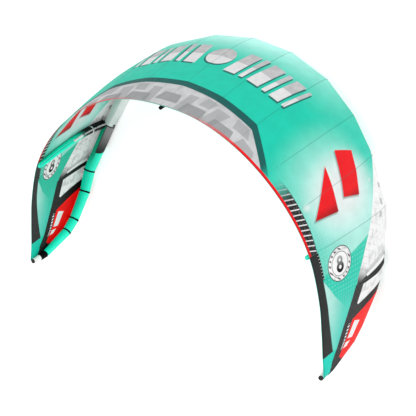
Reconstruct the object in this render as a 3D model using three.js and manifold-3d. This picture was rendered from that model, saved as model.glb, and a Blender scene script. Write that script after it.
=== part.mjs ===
// Kitesurfing kite of eight square metres with an inflated leading edge and three struts.
// The stations below are in the flying attitude: x to the right wing tip, y forward, z up, in mm.
// The finished kite is pitched nose down and rests on its leading edge, as it does on a beach.
import * as THREE from 'three';
import { mergeVertices } from 'three/addons/utils/BufferGeometryUtils.js';
import Module from 'manifold-3d';

const wasm = await Module();
wasm.setup();

// Seams of the leading edge tube on the right half wing: tube axis and tube radius
const LE_STATIONS = [
  { x: 0, y: 1590, z: 2409, r: 84 },
  { x: 432, y: 1566, z: 2363, r: 83 },
  { x: 861, y: 1501, z: 2212, r: 80 },
  { x: 1208, y: 1415, z: 1966, r: 77 },
  { x: 1474, y: 1329, z: 1664, r: 73 },
  { x: 1687, y: 1250, z: 1234, r: 69 },
  { x: 1832, y: 1032, z: 708, r: 66 },
  { x: 1828, y: 928, z: 479, r: 61 },
  { x: 1821, y: 708, z: 214, r: 56 },
  { x: 1821, y: 571, z: 115, r: 53 },
  { x: 1819, y: 203, z: 1, r: 40 },
];

// Trailing edge of the right half wing, where the rib from the same row above ends
const TE_STATIONS = [
  { x: 0, y: 24, z: 2314 },
  { x: 411, y: 17, z: 2278 },
  { x: 792, y: 17, z: 2135 },
  { x: 1133, y: 19, z: 1905 },
  { x: 1429, y: 21, z: 1595 },
  { x: 1637, y: 23, z: 1244 },
  { x: 1763, y: 25, z: 800 },
  { x: 1803, y: 25, z: 500 },
  { x: 1832, y: 25, z: 209 },
  { x: 1847, y: 23, z: 92 },
  { x: 1858, y: 18, z: 2 },
];

// Camber of the ribs: angle at which the cloth leaves the tube, and belly height over the chord
const CAMBER_STATIONS = [
  { rib: 0, liftDeg: 16, belly: 0.06 },
  { rib: 5, liftDeg: 17, belly: 0.065 },
  { rib: 7, liftDeg: 11, belly: 0.05 },
  { rib: 10, liftDeg: 0, belly: 0.03 },
];
const BEZIER_FRONT = 0.2;
const BEZIER_REAR = 0.6;

// Tip fitting behind the last tube seam: black cuff, white cone and black end plug
const TIP_STATIONS = [
  { name: 'tip_cuff', finish: 'black', x: 1819, y: 108, z: -4, rFront: 39.5, rRear: 36.5 },
  { name: 'tip_cone', finish: 'white', x: 1825, y: 16, z: -2, rFront: 35, rRear: 25 },
  { name: 'tip_plug', finish: 'black', x: 1826, y: 1, z: -2, rFront: 25, rRear: 23 },
];

const CHAIN = [...LE_STATIONS, ...TIP_STATIONS];
const RIB_COUNT = LE_STATIONS.length - 1;
const STRUT_RIB = 5;
const DACRON_END_RIB = 8;
const CLOTH = 2;
const GAP = 0.3;
const TUBE_SIDES = 24;

const DACRON_WIDTH_TOP = 85;
const DACRON_WIDTH_BOTTOM = 155;
const DACRON_FLARE = 2.2;
const DACRON_END_INSET = 0.004;
const BINDING_WIDTH = 14;
const BINDING_THICKNESS = 3;

const STRUT_RADIUS_FRONT = 44;
const STRUT_RADIUS_REAR = 30;
const STRUT_CLEARANCE = BINDING_THICKNESS / 2 + GAP;
const STRUT_OVERHANG = 14;
const SLEEVE_LENGTH = 520;
const STRUT_SIDES = 20;
const STRUT_END_BULGE = 0.6;

const HOSE_RADIUS = 9;
const HOSE_ANGLE_DEG = 48;
const HOSE_START = 36;
const HOSE_CLEARANCE = 0.6;
const HOSE_SIDES = 10;
const CONNECTOR_START = 600;
const CONNECTOR_LENGTH = 140;
const CONNECTOR_RADIUS = 15;
const CONNECTOR_SIDES = 12;

const PATCH_LENGTH = 350;
const PATCH_ARC_FROM_DEG = -30;
const PATCH_ARC_TO_DEG = 172;
const PATCH_THICKNESS = 1.5;
const PATCH_CLEARANCE = 0.7;
const PATCH_SEAM_INSET = 1;
const PATCH_SHORTEST_PART = 0.62;
const FLAT_DEPTH = 3;
const GROUND_SIZE = 8000;

const COLOURS = {
  teal: { color: 0x1fd0b4, roughness: 0.6 },
  tubeTeal: { color: 0x05c79c, roughness: 0.45 },
  black: { color: 0x101214, roughness: 0.6 },
  charcoal: { color: 0x3b3d3e, roughness: 0.7 },
  white: { color: 0xf1f3f2, roughness: 0.5 },
  hose: { color: 0x8d8d8d, roughness: 0.4 },
  binding: { color: 0xd4262c, roughness: 0.7 },
};

function finish(name) {
  return new THREE.MeshStandardMaterial({ ...COLOURS[name], metalness: 0, side: THREE.FrontSide });
}

function vector(station) {
  return new THREE.Vector3(station.x, station.y, station.z);
}

function degrees(angle) {
  return THREE.MathUtils.degToRad(angle);
}

// Value of a station column at a rib position, straight between the stations
function column(stations, key, position, name) {
  let low = 0;
  while (low < stations.length - 2 && position > stations[low + 1][key]) low += 1;
  const from = stations[low];
  const to = stations[low + 1];
  const part = (position - from[key]) / (to[key] - from[key]);
  return THREE.MathUtils.lerp(from[name], to[name], part);
}

// Nose-down pitch at which the middle of the tube and both strut seams stand level
function restAttitude() {
  const middle = LE_STATIONS[0];
  const strut = LE_STATIONS[STRUT_RIB];
  const forward = middle.y - strut.y;
  const upward = middle.z - strut.z;
  const radiusStep = strut.r + PATCH_THICKNESS + PATCH_CLEARANCE - middle.r;
  const pitch = Math.atan2(upward, forward) + Math.asin(radiusStep / Math.hypot(upward, forward));
  const down = new THREE.Vector3(0, Math.sin(pitch), -Math.cos(pitch));
  const reach = vector(middle).dot(down) + middle.r - FLAT_DEPTH;
  return { pitch, down, reach };
}

const REST = restAttitude();

// Smooth trailing edge through its stations on both half wings
const trailingEdge = new THREE.CatmullRomCurve3(
  [...TE_STATIONS.slice(1).reverse().map((s) => vector({ ...s, x: -s.x })), ...TE_STATIONS.map(vector)],
);

function trailingPoint(rib) {
  return trailingEdge.getPoint((rib + RIB_COUNT) / (2 * RIB_COUNT));
}

function trailingTangent(rib) {
  const step = 0.05;
  const from = trailingPoint(Math.max(rib - step, -RIB_COUNT));
  const to = trailingPoint(Math.min(rib + step, RIB_COUNT));
  return to.sub(from).normalize();
}

function segmentTangent(index) {
  if (index < 0) return segmentTangent(0).multiply(new THREE.Vector3(1, -1, -1));
  const last = Math.min(index, CHAIN.length - 2);
  return vector(CHAIN[last + 1]).sub(vector(CHAIN[last])).normalize();
}

// Tube axis, radius, and axis direction at a rib position; at a seam the direction is the mitre's
function tubeAt(rib) {
  const index = Math.min(Math.floor(rib), RIB_COUNT - 1);
  const part = rib - index;
  const from = LE_STATIONS[index];
  const to = LE_STATIONS[index + 1];
  const axis = segmentTangent(index);
  let stretch = 1;
  if (part < 1e-6 || part > 1 - 1e-6) {
    const seam = Math.round(rib);
    axis.copy(segmentTangent(seam - 1)).add(segmentTangent(seam)).normalize();
    stretch = 1 / axis.dot(segmentTangent(seam));
  }
  return {
    point: vector(from).lerp(vector(to), part),
    radius: THREE.MathUtils.lerp(from.r, to.r, part),
    axis,
    stretch,
  };
}

// Rib of the canopy at a position along the half wing: a cubic curve from the tube to the trailing edge
function ribCurve(rib) {
  const tube = tubeAt(rib);
  const end = trailingPoint(rib);
  const chordVector = end.clone().sub(tube.point);
  const chord = chordVector.length();
  const back = chordVector.normalize();
  const outward = back.clone().cross(trailingTangent(rib)).normalize();
  const lift = degrees(column(CAMBER_STATIONS, 'rib', rib, 'liftDeg'));
  const belly = column(CAMBER_STATIONS, 'rib', rib, 'belly');
  const leave = outward.clone().multiplyScalar(Math.cos(lift)).addScaledVector(back, -Math.sin(lift));
  leave.addScaledVector(tube.axis, -leave.dot(tube.axis)).normalize();
  const radius = (tube.radius + GAP + CLOTH / 2 + GAP) * tube.stretch;
  const start = tube.point.clone().addScaledVector(leave, radius);
  const along = back.clone().multiplyScalar(Math.cos(lift)).addScaledVector(outward, Math.sin(lift));
  const second = start.clone().addScaledVector(along, BEZIER_FRONT * chord);
  const third = tube.point.clone().addScaledVector(back, BEZIER_REAR * chord);
  third.addScaledVector(outward, belly * chord);
  const curve = new THREE.CubicBezierCurve3(start, second, third, end);
  return { curve, outward, back, chord, tube };
}

// Point of the canopy's middle surface, and the outward normal of the rib there
function canopyPoint(rib, part) {
  const { curve, outward } = ribCurve(rib);
  const point = part <= 1 ? curve.getPoint(part) : curve.getPoint(1);
  const direction = curve.getTangent(Math.min(part, 1));
  if (part > 1) point.addScaledVector(direction, (part - 1) * curve.getLength());
  const normal = outward.clone().addScaledVector(direction, -outward.dot(direction)).normalize();
  return { point, normal, direction };
}

// Closed solid of a sheet: a grid of middle points with normals, given a thickness both ways.
// Cells that keep() leaves out stay open, and every free edge gets a wall.
function sheetSolid(rows, thickness, keep = () => true) {
  const vertices = [];
  const index = [];
  const known = new Map();
  const corner = (i, j, side) => {
    const key = `${i},${j},${side}`;
    if (!known.has(key)) {
      const { point, normal } = rows[i][j];
      known.set(key, vertices.length / 3);
      vertices.push(...point.clone().addScaledVector(normal, (side * thickness) / 2).toArray());
    }
    return known.get(key);
  };
  const quad = (a, b, c, d) => index.push(a, b, c, a, c, d);
  const present = (i, j) => i >= 0 && j >= 0 && i < rows.length - 1 && j < rows[0].length - 1 && keep(i, j);
  for (let i = 0; i < rows.length - 1; i += 1) {
    for (let j = 0; j < rows[0].length - 1; j += 1) {
      if (!present(i, j)) continue;
      const cell = [[i, j], [i + 1, j], [i + 1, j + 1], [i, j + 1]];
      quad(...cell.map(([p, q]) => corner(p, q, 1)));
      quad(...cell.toReversed().map(([p, q]) => corner(p, q, -1)));
      const beyond = [[i, j - 1], [i + 1, j], [i, j + 1], [i - 1, j]];
      beyond.forEach(([p, q], side) => {
        if (present(p, q)) return;
        const [from, to] = [cell[side], cell[(side + 1) % 4]];
        quad(corner(...to, 1), corner(...from, 1), corner(...from, -1), corner(...to, -1));
      });
    }
  }
  const geometry = new THREE.BufferGeometry();
  geometry.setAttribute('position', new THREE.Float32BufferAttribute(vertices, 3));
  geometry.setIndex(index);
  return outwardFacing(geometry);
}

function signedVolume(geometry) {
  const position = geometry.getAttribute('position');
  const index = geometry.getIndex();
  const corner = (k) => new THREE.Vector3().fromBufferAttribute(position, index.getX(k));
  let volume = 0;
  for (let k = 0; k < index.count; k += 3) {
    volume += corner(k).dot(corner(k + 1).cross(corner(k + 2))) / 6;
  }
  return volume;
}

function turnedInsideOut(geometry) {
  const index = geometry.getIndex();
  for (let k = 0; k < index.count; k += 3) {
    const first = index.getX(k);
    index.setX(k, index.getX(k + 1));
    index.setX(k + 1, first);
  }
  return geometry;
}

function outwardFacing(geometry) {
  return signedVolume(geometry) < 0 ? turnedInsideOut(geometry) : geometry;
}

function mirrored(geometry) {
  return turnedInsideOut(geometry.clone().scale(-1, 1, 1));
}

// Closed tube through a list of points, each with its own radius
function taperedTube(stations, sides) {
  const last = stations.length - 1;
  const tangents = stations.map((s, i) => {
    const from = stations[Math.max(i - 1, 0)].point;
    const to = stations[Math.min(i + 1, last)].point;
    return to.clone().sub(from).normalize();
  });
  const across = new THREE.Vector3(0, 0, 1).cross(tangents[0]);
  if (across.length() < 0.1) across.set(1, 0, 0).cross(tangents[0]);
  across.normalize();
  const vertices = [];
  stations.forEach((station, i) => {
    if (i > 0) across.applyQuaternion(new THREE.Quaternion().setFromUnitVectors(tangents[i - 1], tangents[i]));
    const upright = tangents[i].clone().cross(across);
    for (let k = 0; k < sides; k += 1) {
      const angle = (2 * Math.PI * k) / sides;
      const spoke = across.clone().multiplyScalar(Math.cos(angle)).addScaledVector(upright, Math.sin(angle));
      vertices.push(...station.point.clone().addScaledVector(spoke, station.radius).toArray());
    }
  });
  vertices.push(...stations[0].point.toArray(), ...stations[last].point.toArray());
  const centre = stations.length * sides;
  const index = [];
  for (let k = 0; k < sides; k += 1) {
    const next = (k + 1) % sides;
    for (let i = 0; i < last; i += 1) {
      const a = i * sides + k;
      const b = i * sides + next;
      index.push(a, b, b + sides, a, b + sides, a + sides);
    }
    index.push(centre, next, k, centre + 1, last * sides + k, last * sides + next);
  }
  const geometry = new THREE.BufferGeometry();
  geometry.setAttribute('position', new THREE.Float32BufferAttribute(vertices, 3));
  geometry.setIndex(index);
  return outwardFacing(geometry);
}

// Frustum between two points whose ends lie in the given mitre planes, each half a gap short
function mitredFrustum(from, to, rFrom, rTo, planeFrom, planeTo, turn, gap) {
  const axis = to.clone().sub(from);
  const length = axis.length();
  const tangent = axis.normalize();
  const cylinder = new THREE.CylinderGeometry(rTo, rFrom, length, TUBE_SIDES, 1);
  cylinder.applyQuaternion(turn);
  cylinder.translate(...from.clone().add(to).multiplyScalar(0.5).toArray());
  const position = cylinder.getAttribute('position');
  const point = new THREE.Vector3();
  for (let k = 0; k < position.count; k += 1) {
    point.fromBufferAttribute(position, k);
    const nearStart = point.clone().sub(from).dot(tangent) < length / 2;
    const origin = nearStart ? from : to;
    const plane = nearStart ? planeFrom : planeTo;
    const shift = origin.clone().sub(point).dot(plane) / tangent.dot(plane);
    point.addScaledVector(tangent, shift + (nearStart ? gap : -gap) / 2);
    position.setXYZ(k, ...point.toArray());
  }
  cylinder.deleteAttribute('normal');
  cylinder.deleteAttribute('uv');
  return outwardFacing(mergeVertices(cylinder));
}

function toManifold(geometry) {
  const plain = geometry.clone();
  plain.deleteAttribute('normal');
  plain.deleteAttribute('uv');
  const merged = mergeVertices(plain);
  return new wasm.Manifold(
    new wasm.Mesh({
      numProp: 3,
      vertProperties: Float32Array.from(merged.getAttribute('position').array),
      triVerts: Uint32Array.from(merged.getIndex().array),
    }),
  );
}

function toGeometry(manifold) {
  const mesh = manifold.getMesh();
  const geometry = new THREE.BufferGeometry();
  geometry.setAttribute('position', new THREE.BufferAttribute(Float32Array.from(mesh.vertProperties), 3));
  geometry.setIndex(new THREE.BufferAttribute(Uint32Array.from(mesh.triVerts), 1));
  return geometry;
}

function cut(geometry, tools) {
  let solid = toManifold(geometry);
  for (const tool of tools) solid = solid.subtract(toManifold(tool));
  return toGeometry(solid);
}

// Half space under the surface that the kite rests on, as a large block
function groundBlock() {
  const block = new THREE.BoxGeometry(GROUND_SIZE, GROUND_SIZE, GROUND_SIZE);
  block.translate(0, 0, -GROUND_SIZE / 2 - REST.reach);
  block.rotateX(REST.pitch);
  return block;
}

const GROUND = groundBlock();

// Leading edge and tip fitting: one conical piece between each two stations of the chain.
// For cutting, the pieces are grown by some mm and closed up with a negative gap.
function leadingEdgeChain(growth, gap) {
  const pieces = [];
  const turn = new THREE.Quaternion();
  for (let i = 0; i < CHAIN.length - 1; i += 1) {
    const tangent = segmentTangent(i);
    const before = i === 0 ? new THREE.Vector3(0, 1, 0) : segmentTangent(i - 1);
    turn.premultiply(new THREE.Quaternion().setFromUnitVectors(before, tangent));
    const planeFrom = segmentTangent(i - 1).add(tangent).normalize();
    const planeTo = segmentTangent(i + 1).add(tangent).normalize();
    const [from, to] = [CHAIN[i], CHAIN[i + 1]];
    const radii = to.name ? [to.rFront, to.rRear] : [from.r + growth, to.r + growth];
    pieces.push(mitredFrustum(vector(from), vector(to), ...radii, planeFrom, planeTo, turn, gap));
  }
  return pieces;
}

// Rows of canopy points between two ribs and two places along the rib
function canopyGrid(ribFrom, ribTo, ribSteps, partFrom, partTo, partSteps) {
  const rows = [];
  for (let i = 0; i <= ribSteps; i += 1) {
    const rib = THREE.MathUtils.lerp(ribFrom, ribTo, i / ribSteps);
    const row = [];
    const first = partFrom(rib);
    const end = partTo(rib);
    for (let j = 0; j <= partSteps; j += 1) {
      row.push(canopyPoint(rib, THREE.MathUtils.lerp(first, end, j / partSteps)));
    }
    rows.push(row);
  }
  shiftRow(rows[0], rows[1]);
  shiftRow(rows[ribSteps], rows[ribSteps - 1]);
  return rows;
}

// The edge row of a panel stands half a gap off the seam
function shiftRow(edge, inner) {
  edge.forEach((entry, j) => {
    const inwards = inner[j].point.clone().sub(entry.point).normalize();
    entry.point.addScaledVector(inwards, GAP / 2);
  });
}

// Place along the rib at which the strip of the given width in front of the trailing edge begins
function partBeforeTrailingEdge(rib, width) {
  return 1 - width / (ribCurve(rib).curve.getLength() * rearStretch(rib));
}

// The cubic runs slower or faster than its length near the rear: its speed there over its length
function rearStretch(rib) {
  const { curve } = ribCurve(rib);
  const step = 0.1;
  return curve.getPoint(1).distanceTo(curve.getPoint(1 - step)) / step / curve.getLength();
}

function dacronWidth(rib) {
  const part = (rib - STRUT_RIB) / (DACRON_END_RIB - STRUT_RIB);
  return THREE.MathUtils.lerp(DACRON_WIDTH_TOP, DACRON_WIDTH_BOTTOM, part ** DACRON_FLARE);
}

const atFront = () => 0;
const atRear = () => 1;

function canopyPanel(number) {
  return sheetSolid(canopyGrid(number - 1, number, 4, atFront, atRear, 12), CLOTH);
}

// The cloth of the wing tip ends at the Dacron strip, and reaches the trailing edge below it
function tipCanopy() {
  const ribSteps = 20;
  const clothSteps = 12;
  const stripSteps = 2;
  const notchRows = (ribSteps * (DACRON_END_RIB - STRUT_RIB)) / (RIB_COUNT - STRUT_RIB);
  const stripEdge = (rib) => partBeforeTrailingEdge(rib, dacronWidth(Math.min(rib, DACRON_END_RIB)) + GAP);
  const cloth = canopyGrid(STRUT_RIB, RIB_COUNT, ribSteps, atFront, stripEdge, clothSteps);
  const rear = canopyGrid(STRUT_RIB, RIB_COUNT, ribSteps, stripEdge, atRear, stripSteps);
  const rows = cloth.map((row, i) => [...row, ...rear[i].slice(1)]);
  return sheetSolid(rows, CLOTH, (i, j) => i >= notchRows || j < clothSteps);
}

function tipDacron() {
  const stripEdge = (rib) => partBeforeTrailingEdge(rib, dacronWidth(rib));
  const rows = canopyGrid(STRUT_RIB, DACRON_END_RIB - DACRON_END_INSET, 12, stripEdge, atRear, 2);
  return sheetSolid(rows, CLOTH);
}

// Folded tape behind the trailing edge of one half wing
function binding() {
  const steps = 4 * RIB_COUNT;
  const rows = [];
  for (let i = 0; i <= steps; i += 1) {
    const rib = (RIB_COUNT * i) / steps;
    const { point, normal, direction } = canopyPoint(rib, 1);
    rows.push([
      { point: point.clone().addScaledVector(direction, GAP), normal },
      { point: point.clone().addScaledVector(direction, GAP + BINDING_WIDTH), normal },
    ]);
  }
  shiftRow(rows[0], rows[1]);
  return sheetSolid(rows, BINDING_THICKNESS);
}

// Axis of the strut under a rib: it follows the rib's camber and tapers to the rear
function strutStations(rib) {
  const steps = 14;
  const overhang = STRUT_OVERHANG / ribCurve(rib).curve.getLength();
  const stations = [];
  for (let i = 0; i <= steps; i += 1) {
    const part = i < steps ? i / (steps - 1) : 1 + overhang;
    const { point, normal } = canopyPoint(rib, part);
    const radius = THREE.MathUtils.lerp(STRUT_RADIUS_FRONT, STRUT_RADIUS_REAR, Math.min(part, 1));
    stations.push({ point: point.addScaledVector(normal, -(radius + STRUT_CLEARANCE)), radius });
  }
  return stations;
}

// Part of a row of stations between two distances from its first one
function stretchOf(stations, from, to) {
  const result = [];
  let travelled = 0;
  for (let i = 0; i < stations.length - 1; i += 1) {
    const a = stations[i];
    const b = stations[i + 1];
    const step = a.point.distanceTo(b.point);
    const place = (distance) => {
      const part = (distance - travelled) / step;
      return { point: a.point.clone().lerp(b.point, part), radius: THREE.MathUtils.lerp(a.radius, b.radius, part) };
    };
    if (from >= travelled && from < travelled + step) result.push(place(from));
    if (travelled + step > from && travelled + step < to) result.push(b);
    if (to > travelled && to <= travelled + step) result.push(place(to));
    travelled += step;
  }
  return result;
}

function lengthOf(stations) {
  let length = 0;
  for (let i = 0; i < stations.length - 1; i += 1) {
    length += stations[i].point.distanceTo(stations[i + 1].point);
  }
  return length;
}

// Strut: black sleeve next to the leading edge, long teal tube, and a round rear end
function strutPieces(rib, tubes) {
  const stations = strutStations(rib);
  const length = lengthOf(stations);
  const sleeve = cut(taperedTube(stretchOf(stations, 0, SLEEVE_LENGTH), STRUT_SIDES), tubes);
  const tube = taperedTube(stretchOf(stations, SLEEVE_LENGTH + GAP, length), STRUT_SIDES);
  const end = stations[stations.length - 1];
  const before = stations[stations.length - 2];
  const direction = end.point.clone().sub(before.point).normalize();
  const profile = [new THREE.Vector2(0, 0)];
  const arcSteps = 6;
  for (let k = 0; k <= arcSteps; k += 1) {
    const angle = (Math.PI / 2) * (k / arcSteps);
    const r = k === arcSteps ? 0 : end.radius * Math.cos(angle);
    profile.push(new THREE.Vector2(r, end.radius * STRUT_END_BULGE * Math.sin(angle)));
  }
  const dome = new THREE.LatheGeometry(profile, STRUT_SIDES);
  dome.applyQuaternion(new THREE.Quaternion().setFromUnitVectors(new THREE.Vector3(0, 1, 0), direction));
  dome.translate(...end.point.clone().addScaledVector(direction, GAP).toArray());
  dome.deleteAttribute('normal');
  dome.deleteAttribute('uv');
  return { sleeve, tube, end: outwardFacing(mergeVertices(dome)) };
}

// Inflation hose beside the strut, from the leading edge to its connector
function hosePieces(rib, tubes) {
  const stations = strutStations(rib);
  const { outward, back } = ribCurve(rib);
  const sideways = back.clone().cross(outward).normalize();
  const angle = degrees(HOSE_ANGLE_DEG);
  const away = outward.clone().multiplyScalar(-Math.cos(angle)).addScaledVector(sideways, Math.sin(angle));
  const beside = (from, to, radius) =>
    stretchOf(stations, from, to).map((s) => ({
      point: s.point.clone().addScaledVector(away, s.radius + radius + HOSE_CLEARANCE),
      radius,
    }));
  const hose = taperedTube(beside(HOSE_START, CONNECTOR_START - GAP, HOSE_RADIUS), HOSE_SIDES);
  const connector = beside(CONNECTOR_START, CONNECTOR_START + CONNECTOR_LENGTH, CONNECTOR_RADIUS);
  return { hose: cut(hose, tubes), connector: taperedTube(connector, CONNECTOR_SIDES) };
}

// Scuff patch on the tube just below the strut seam, longer on its inner side
function scuffPatch() {
  const from = LE_STATIONS[STRUT_RIB];
  const to = LE_STATIONS[STRUT_RIB + 1];
  const tangent = segmentTangent(STRUT_RIB);
  const length = vector(to).sub(vector(from)).length();
  const { outward, back } = ribCurve(STRUT_RIB);
  const forward = back.clone().negate();
  forward.addScaledVector(tangent, -forward.dot(tangent)).normalize();
  const inward = outward.clone().negate();
  inward.addScaledVector(tangent, -inward.dot(tangent));
  inward.addScaledVector(forward, -inward.dot(forward)).normalize();
  const seamPlane = segmentTangent(STRUT_RIB - 1).add(tangent).normalize();
  const arcSteps = 18;
  const lengthSteps = 4;
  const rows = [];
  for (let i = 0; i <= arcSteps; i += 1) {
    const angle = degrees(THREE.MathUtils.lerp(PATCH_ARC_FROM_DEG, PATCH_ARC_TO_DEG, i / arcSteps));
    const spoke = forward.clone().multiplyScalar(Math.cos(angle)).addScaledVector(inward, Math.sin(angle));
    const slant = Math.sin((Math.PI / 2) * (i / arcSteps));
    const reach = PATCH_LENGTH * THREE.MathUtils.lerp(PATCH_SHORTEST_PART, 1, slant);
    const row = [];
    for (let j = 0; j <= lengthSteps; j += 1) {
      const surface = (distance) => {
        const radius = THREE.MathUtils.lerp(from.r, to.r, distance / length) + PATCH_CLEARANCE + PATCH_THICKNESS / 2;
        return vector(from).addScaledVector(tangent, distance).addScaledVector(spoke, radius);
      };
      const seam = vector(from).sub(surface(0)).dot(seamPlane) / tangent.dot(seamPlane);
      const begin = seam + PATCH_SEAM_INSET;
      row.push({ point: surface(THREE.MathUtils.lerp(begin, reach, j / lengthSteps)), normal: spoke });
    }
    rows.push(row);
  }
  return sheetSolid(rows, PATCH_THICKNESS);
}

// Assembly
const kite = new THREE.Group();
kite.rotation.x = -REST.pitch;
kite.position.z = REST.reach;

function place(name, geometry, finishName) {
  const mesh = new THREE.Mesh(geometry, finish(finishName));
  mesh.name = name;
  kite.add(mesh);
}

function placePair(name, geometry, finishName) {
  place(`${name}_right`, geometry, finishName);
  place(`${name}_left`, mirrored(geometry), finishName);
}

const tubes = leadingEdgeChain(0, GAP);
const grown = leadingEdgeChain(2 * GAP, -GAP);
tubes.slice(0, RIB_COUNT).forEach((segment, i) => {
  const touchesGround = [0, STRUT_RIB - 1, STRUT_RIB].includes(i);
  placePair(`le_tube_${i + 1}`, touchesGround ? cut(segment, [GROUND]) : segment, 'tubeTeal');
});
TIP_STATIONS.forEach((row, k) => placePair(row.name, tubes[RIB_COUNT + k], row.finish));

for (let number = 1; number <= STRUT_RIB; number += 1) {
  placePair(`canopy_${number}`, canopyPanel(number), 'teal');
}
placePair('canopy_tip', tipCanopy(), 'teal');
placePair('tip_dacron', tipDacron(), 'charcoal');
placePair('te_binding', binding(), 'binding');
placePair('scuff_patch', cut(scuffPatch(), [GROUND]), 'charcoal');

const middleTubes = [grown[0], mirrored(grown[0])];
const middle = strutPieces(0, middleTubes);
place('strut_sleeve_middle', middle.sleeve, 'black');
place('strut_tube_middle', middle.tube, 'tubeTeal');
place('strut_end_middle', middle.end, 'black');
const middleHose = hosePieces(0, middleTubes);
place('hose_middle', middleHose.hose, 'hose');
place('hose_connector_middle', middleHose.connector, 'white');

const wingTubes = [grown[STRUT_RIB - 1], grown[STRUT_RIB]];
const wing = strutPieces(STRUT_RIB, wingTubes);
placePair('strut_sleeve', wing.sleeve, 'black');
placePair('strut_tube', wing.tube, 'tubeTeal');
placePair('strut_end', wing.end, 'tubeTeal');
const wingHose = hosePieces(STRUT_RIB, wingTubes);
placePair('hose', wingHose.hose, 'hose');
placePair('hose_connector', wingHose.connector, 'white');

// The origin is in the middle of the kite's footprint
const extent = new THREE.Box3().setFromObject(kite, true);
kite.position.y = -(extent.min.y + extent.max.y) / 2;

export default kite;
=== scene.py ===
"""Looks of a kitesurfing kite that stands nose down on its inflated leading edge.

The wing is worked out in its flying attitude, in millimetres: x to the right wing tip, y forward, z up.
A rib position runs from 0 in the middle to 10 at the tip, and is negative on the left half wing.
Every piece is then set down in the standing attitude, in metres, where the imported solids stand.
"""

import logging
import math
from dataclasses import dataclass
from enum import Enum
from functools import lru_cache
from typing import Callable, Sequence, Tuple, Union

import bmesh
import bpy
from mathutils import Matrix, Vector

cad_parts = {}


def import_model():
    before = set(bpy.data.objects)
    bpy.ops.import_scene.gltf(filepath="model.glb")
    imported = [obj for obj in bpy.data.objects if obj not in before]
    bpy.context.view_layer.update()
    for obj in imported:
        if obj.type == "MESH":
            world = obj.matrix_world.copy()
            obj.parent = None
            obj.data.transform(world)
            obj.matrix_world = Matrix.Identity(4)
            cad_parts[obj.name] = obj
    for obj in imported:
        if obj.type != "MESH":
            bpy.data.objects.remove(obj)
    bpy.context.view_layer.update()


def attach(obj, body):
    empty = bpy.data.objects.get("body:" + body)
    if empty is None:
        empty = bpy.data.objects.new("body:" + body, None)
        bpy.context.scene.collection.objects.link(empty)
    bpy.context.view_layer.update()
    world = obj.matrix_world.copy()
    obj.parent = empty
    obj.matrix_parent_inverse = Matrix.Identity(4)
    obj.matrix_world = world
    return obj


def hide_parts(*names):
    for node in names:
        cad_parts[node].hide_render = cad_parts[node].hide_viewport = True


LOG = logging.getLogger("kite")
MM = 0.001
TIP_RIB = 10.0
STRUT_RIB = 5.0
STRIP_END_RIB = 8.0
MERGE_M = 1e-6

Piece = bpy.types.Object
Material = bpy.types.Material
Tree = bpy.types.NodeTree
Node = bpy.types.Node
Socket = bpy.types.NodeSocket
Corner = Tuple[float, float]
Corner3 = Tuple[float, float, float]
Colour = Tuple[float, float, float]
Value = Union[float, Socket]
Paint = Union[Corner3, Socket]


class Side(Enum):
    """The two half wings."""

    RIGHT = 1
    LEFT = -1

    @property
    def word(self) -> str:
        """The side's name as the nodes end with it."""
        return self.name.lower()


# Wing shape


@dataclass(frozen=True)
class Attitude:
    """How the flying kite is pitched nose down and set on the ground."""

    pitch_deg: float = 73.262008
    lift_mm: float = 909.853147
    back_mm: float = 1414.103300

    def direction(self, flying: Vector) -> Vector:
        """Turns a direction of the flying kite into the standing one."""
        return Matrix.Rotation(-math.radians(self.pitch_deg), 3, "X") @ flying

    def point(self, flying: Vector) -> Vector:
        """Turns a point of the flying kite, in mm, into the standing one, in metres."""
        return (self.direction(flying) + Vector((0.0, -self.back_mm, self.lift_mm))) * MM


@dataclass(frozen=True)
class Seam:
    """Axis point and radius of the leading edge tube at one of its seams."""

    x: float
    y: float
    z: float
    r: float

    @property
    def point(self) -> Vector:
        """The axis point."""
        return Vector((self.x, self.y, self.z))


LEADING_SEAMS = (
    Seam(0, 1590, 2409, 84),
    Seam(432, 1566, 2363, 83),
    Seam(861, 1501, 2212, 80),
    Seam(1208, 1415, 1966, 77),
    Seam(1474, 1329, 1664, 73),
    Seam(1687, 1250, 1234, 69),
    Seam(1832, 1032, 708, 66),
    Seam(1828, 928, 479, 61),
    Seam(1821, 708, 214, 56),
    Seam(1821, 571, 115, 53),
    Seam(1819, 203, 1, 40),
    Seam(1819, 108, -4, 36.5),
    Seam(1825, 16, -2, 25),
    Seam(1826, 1, -2, 23),
)

TRAILING_POINTS = (
    (0, 24, 2314),
    (411, 17, 2278),
    (792, 17, 2135),
    (1133, 19, 1905),
    (1429, 21, 1595),
    (1637, 23, 1244),
    (1763, 25, 800),
    (1803, 25, 500),
    (1832, 25, 209),
    (1847, 23, 92),
    (1858, 18, 2),
)


@dataclass(frozen=True)
class Camber:
    """Angle at which the cloth leaves the tube, and belly height over the chord, at a rib."""

    rib: float
    lift_deg: float
    belly: float


CAMBERS = (
    Camber(0, 16, 0.06),
    Camber(5, 17, 0.065),
    Camber(7, 11, 0.05),
    Camber(10, 0, 0.03),
)


@dataclass(frozen=True)
class Spot:
    """A place on a surface of the flying kite, in mm, with the surface's directions there."""

    point: Vector
    normal: Vector
    along: Vector


def between(low: float, high: float, part: float) -> float:
    """Straight value between two numbers."""
    return low + (high - low) * part


def smooth_step(low: float, high: float, value: float) -> float:
    """Rises softly from 0 at low to 1 at high."""
    part = min(max((value - low) / (high - low), 0.0), 1.0)
    return part * part * (3.0 - 2.0 * part)


def mirrored(vector: Vector, sign: float) -> Vector:
    """The vector itself, or its mirror image on the left half wing."""
    return Vector((vector.x * sign, vector.y, vector.z))


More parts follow.
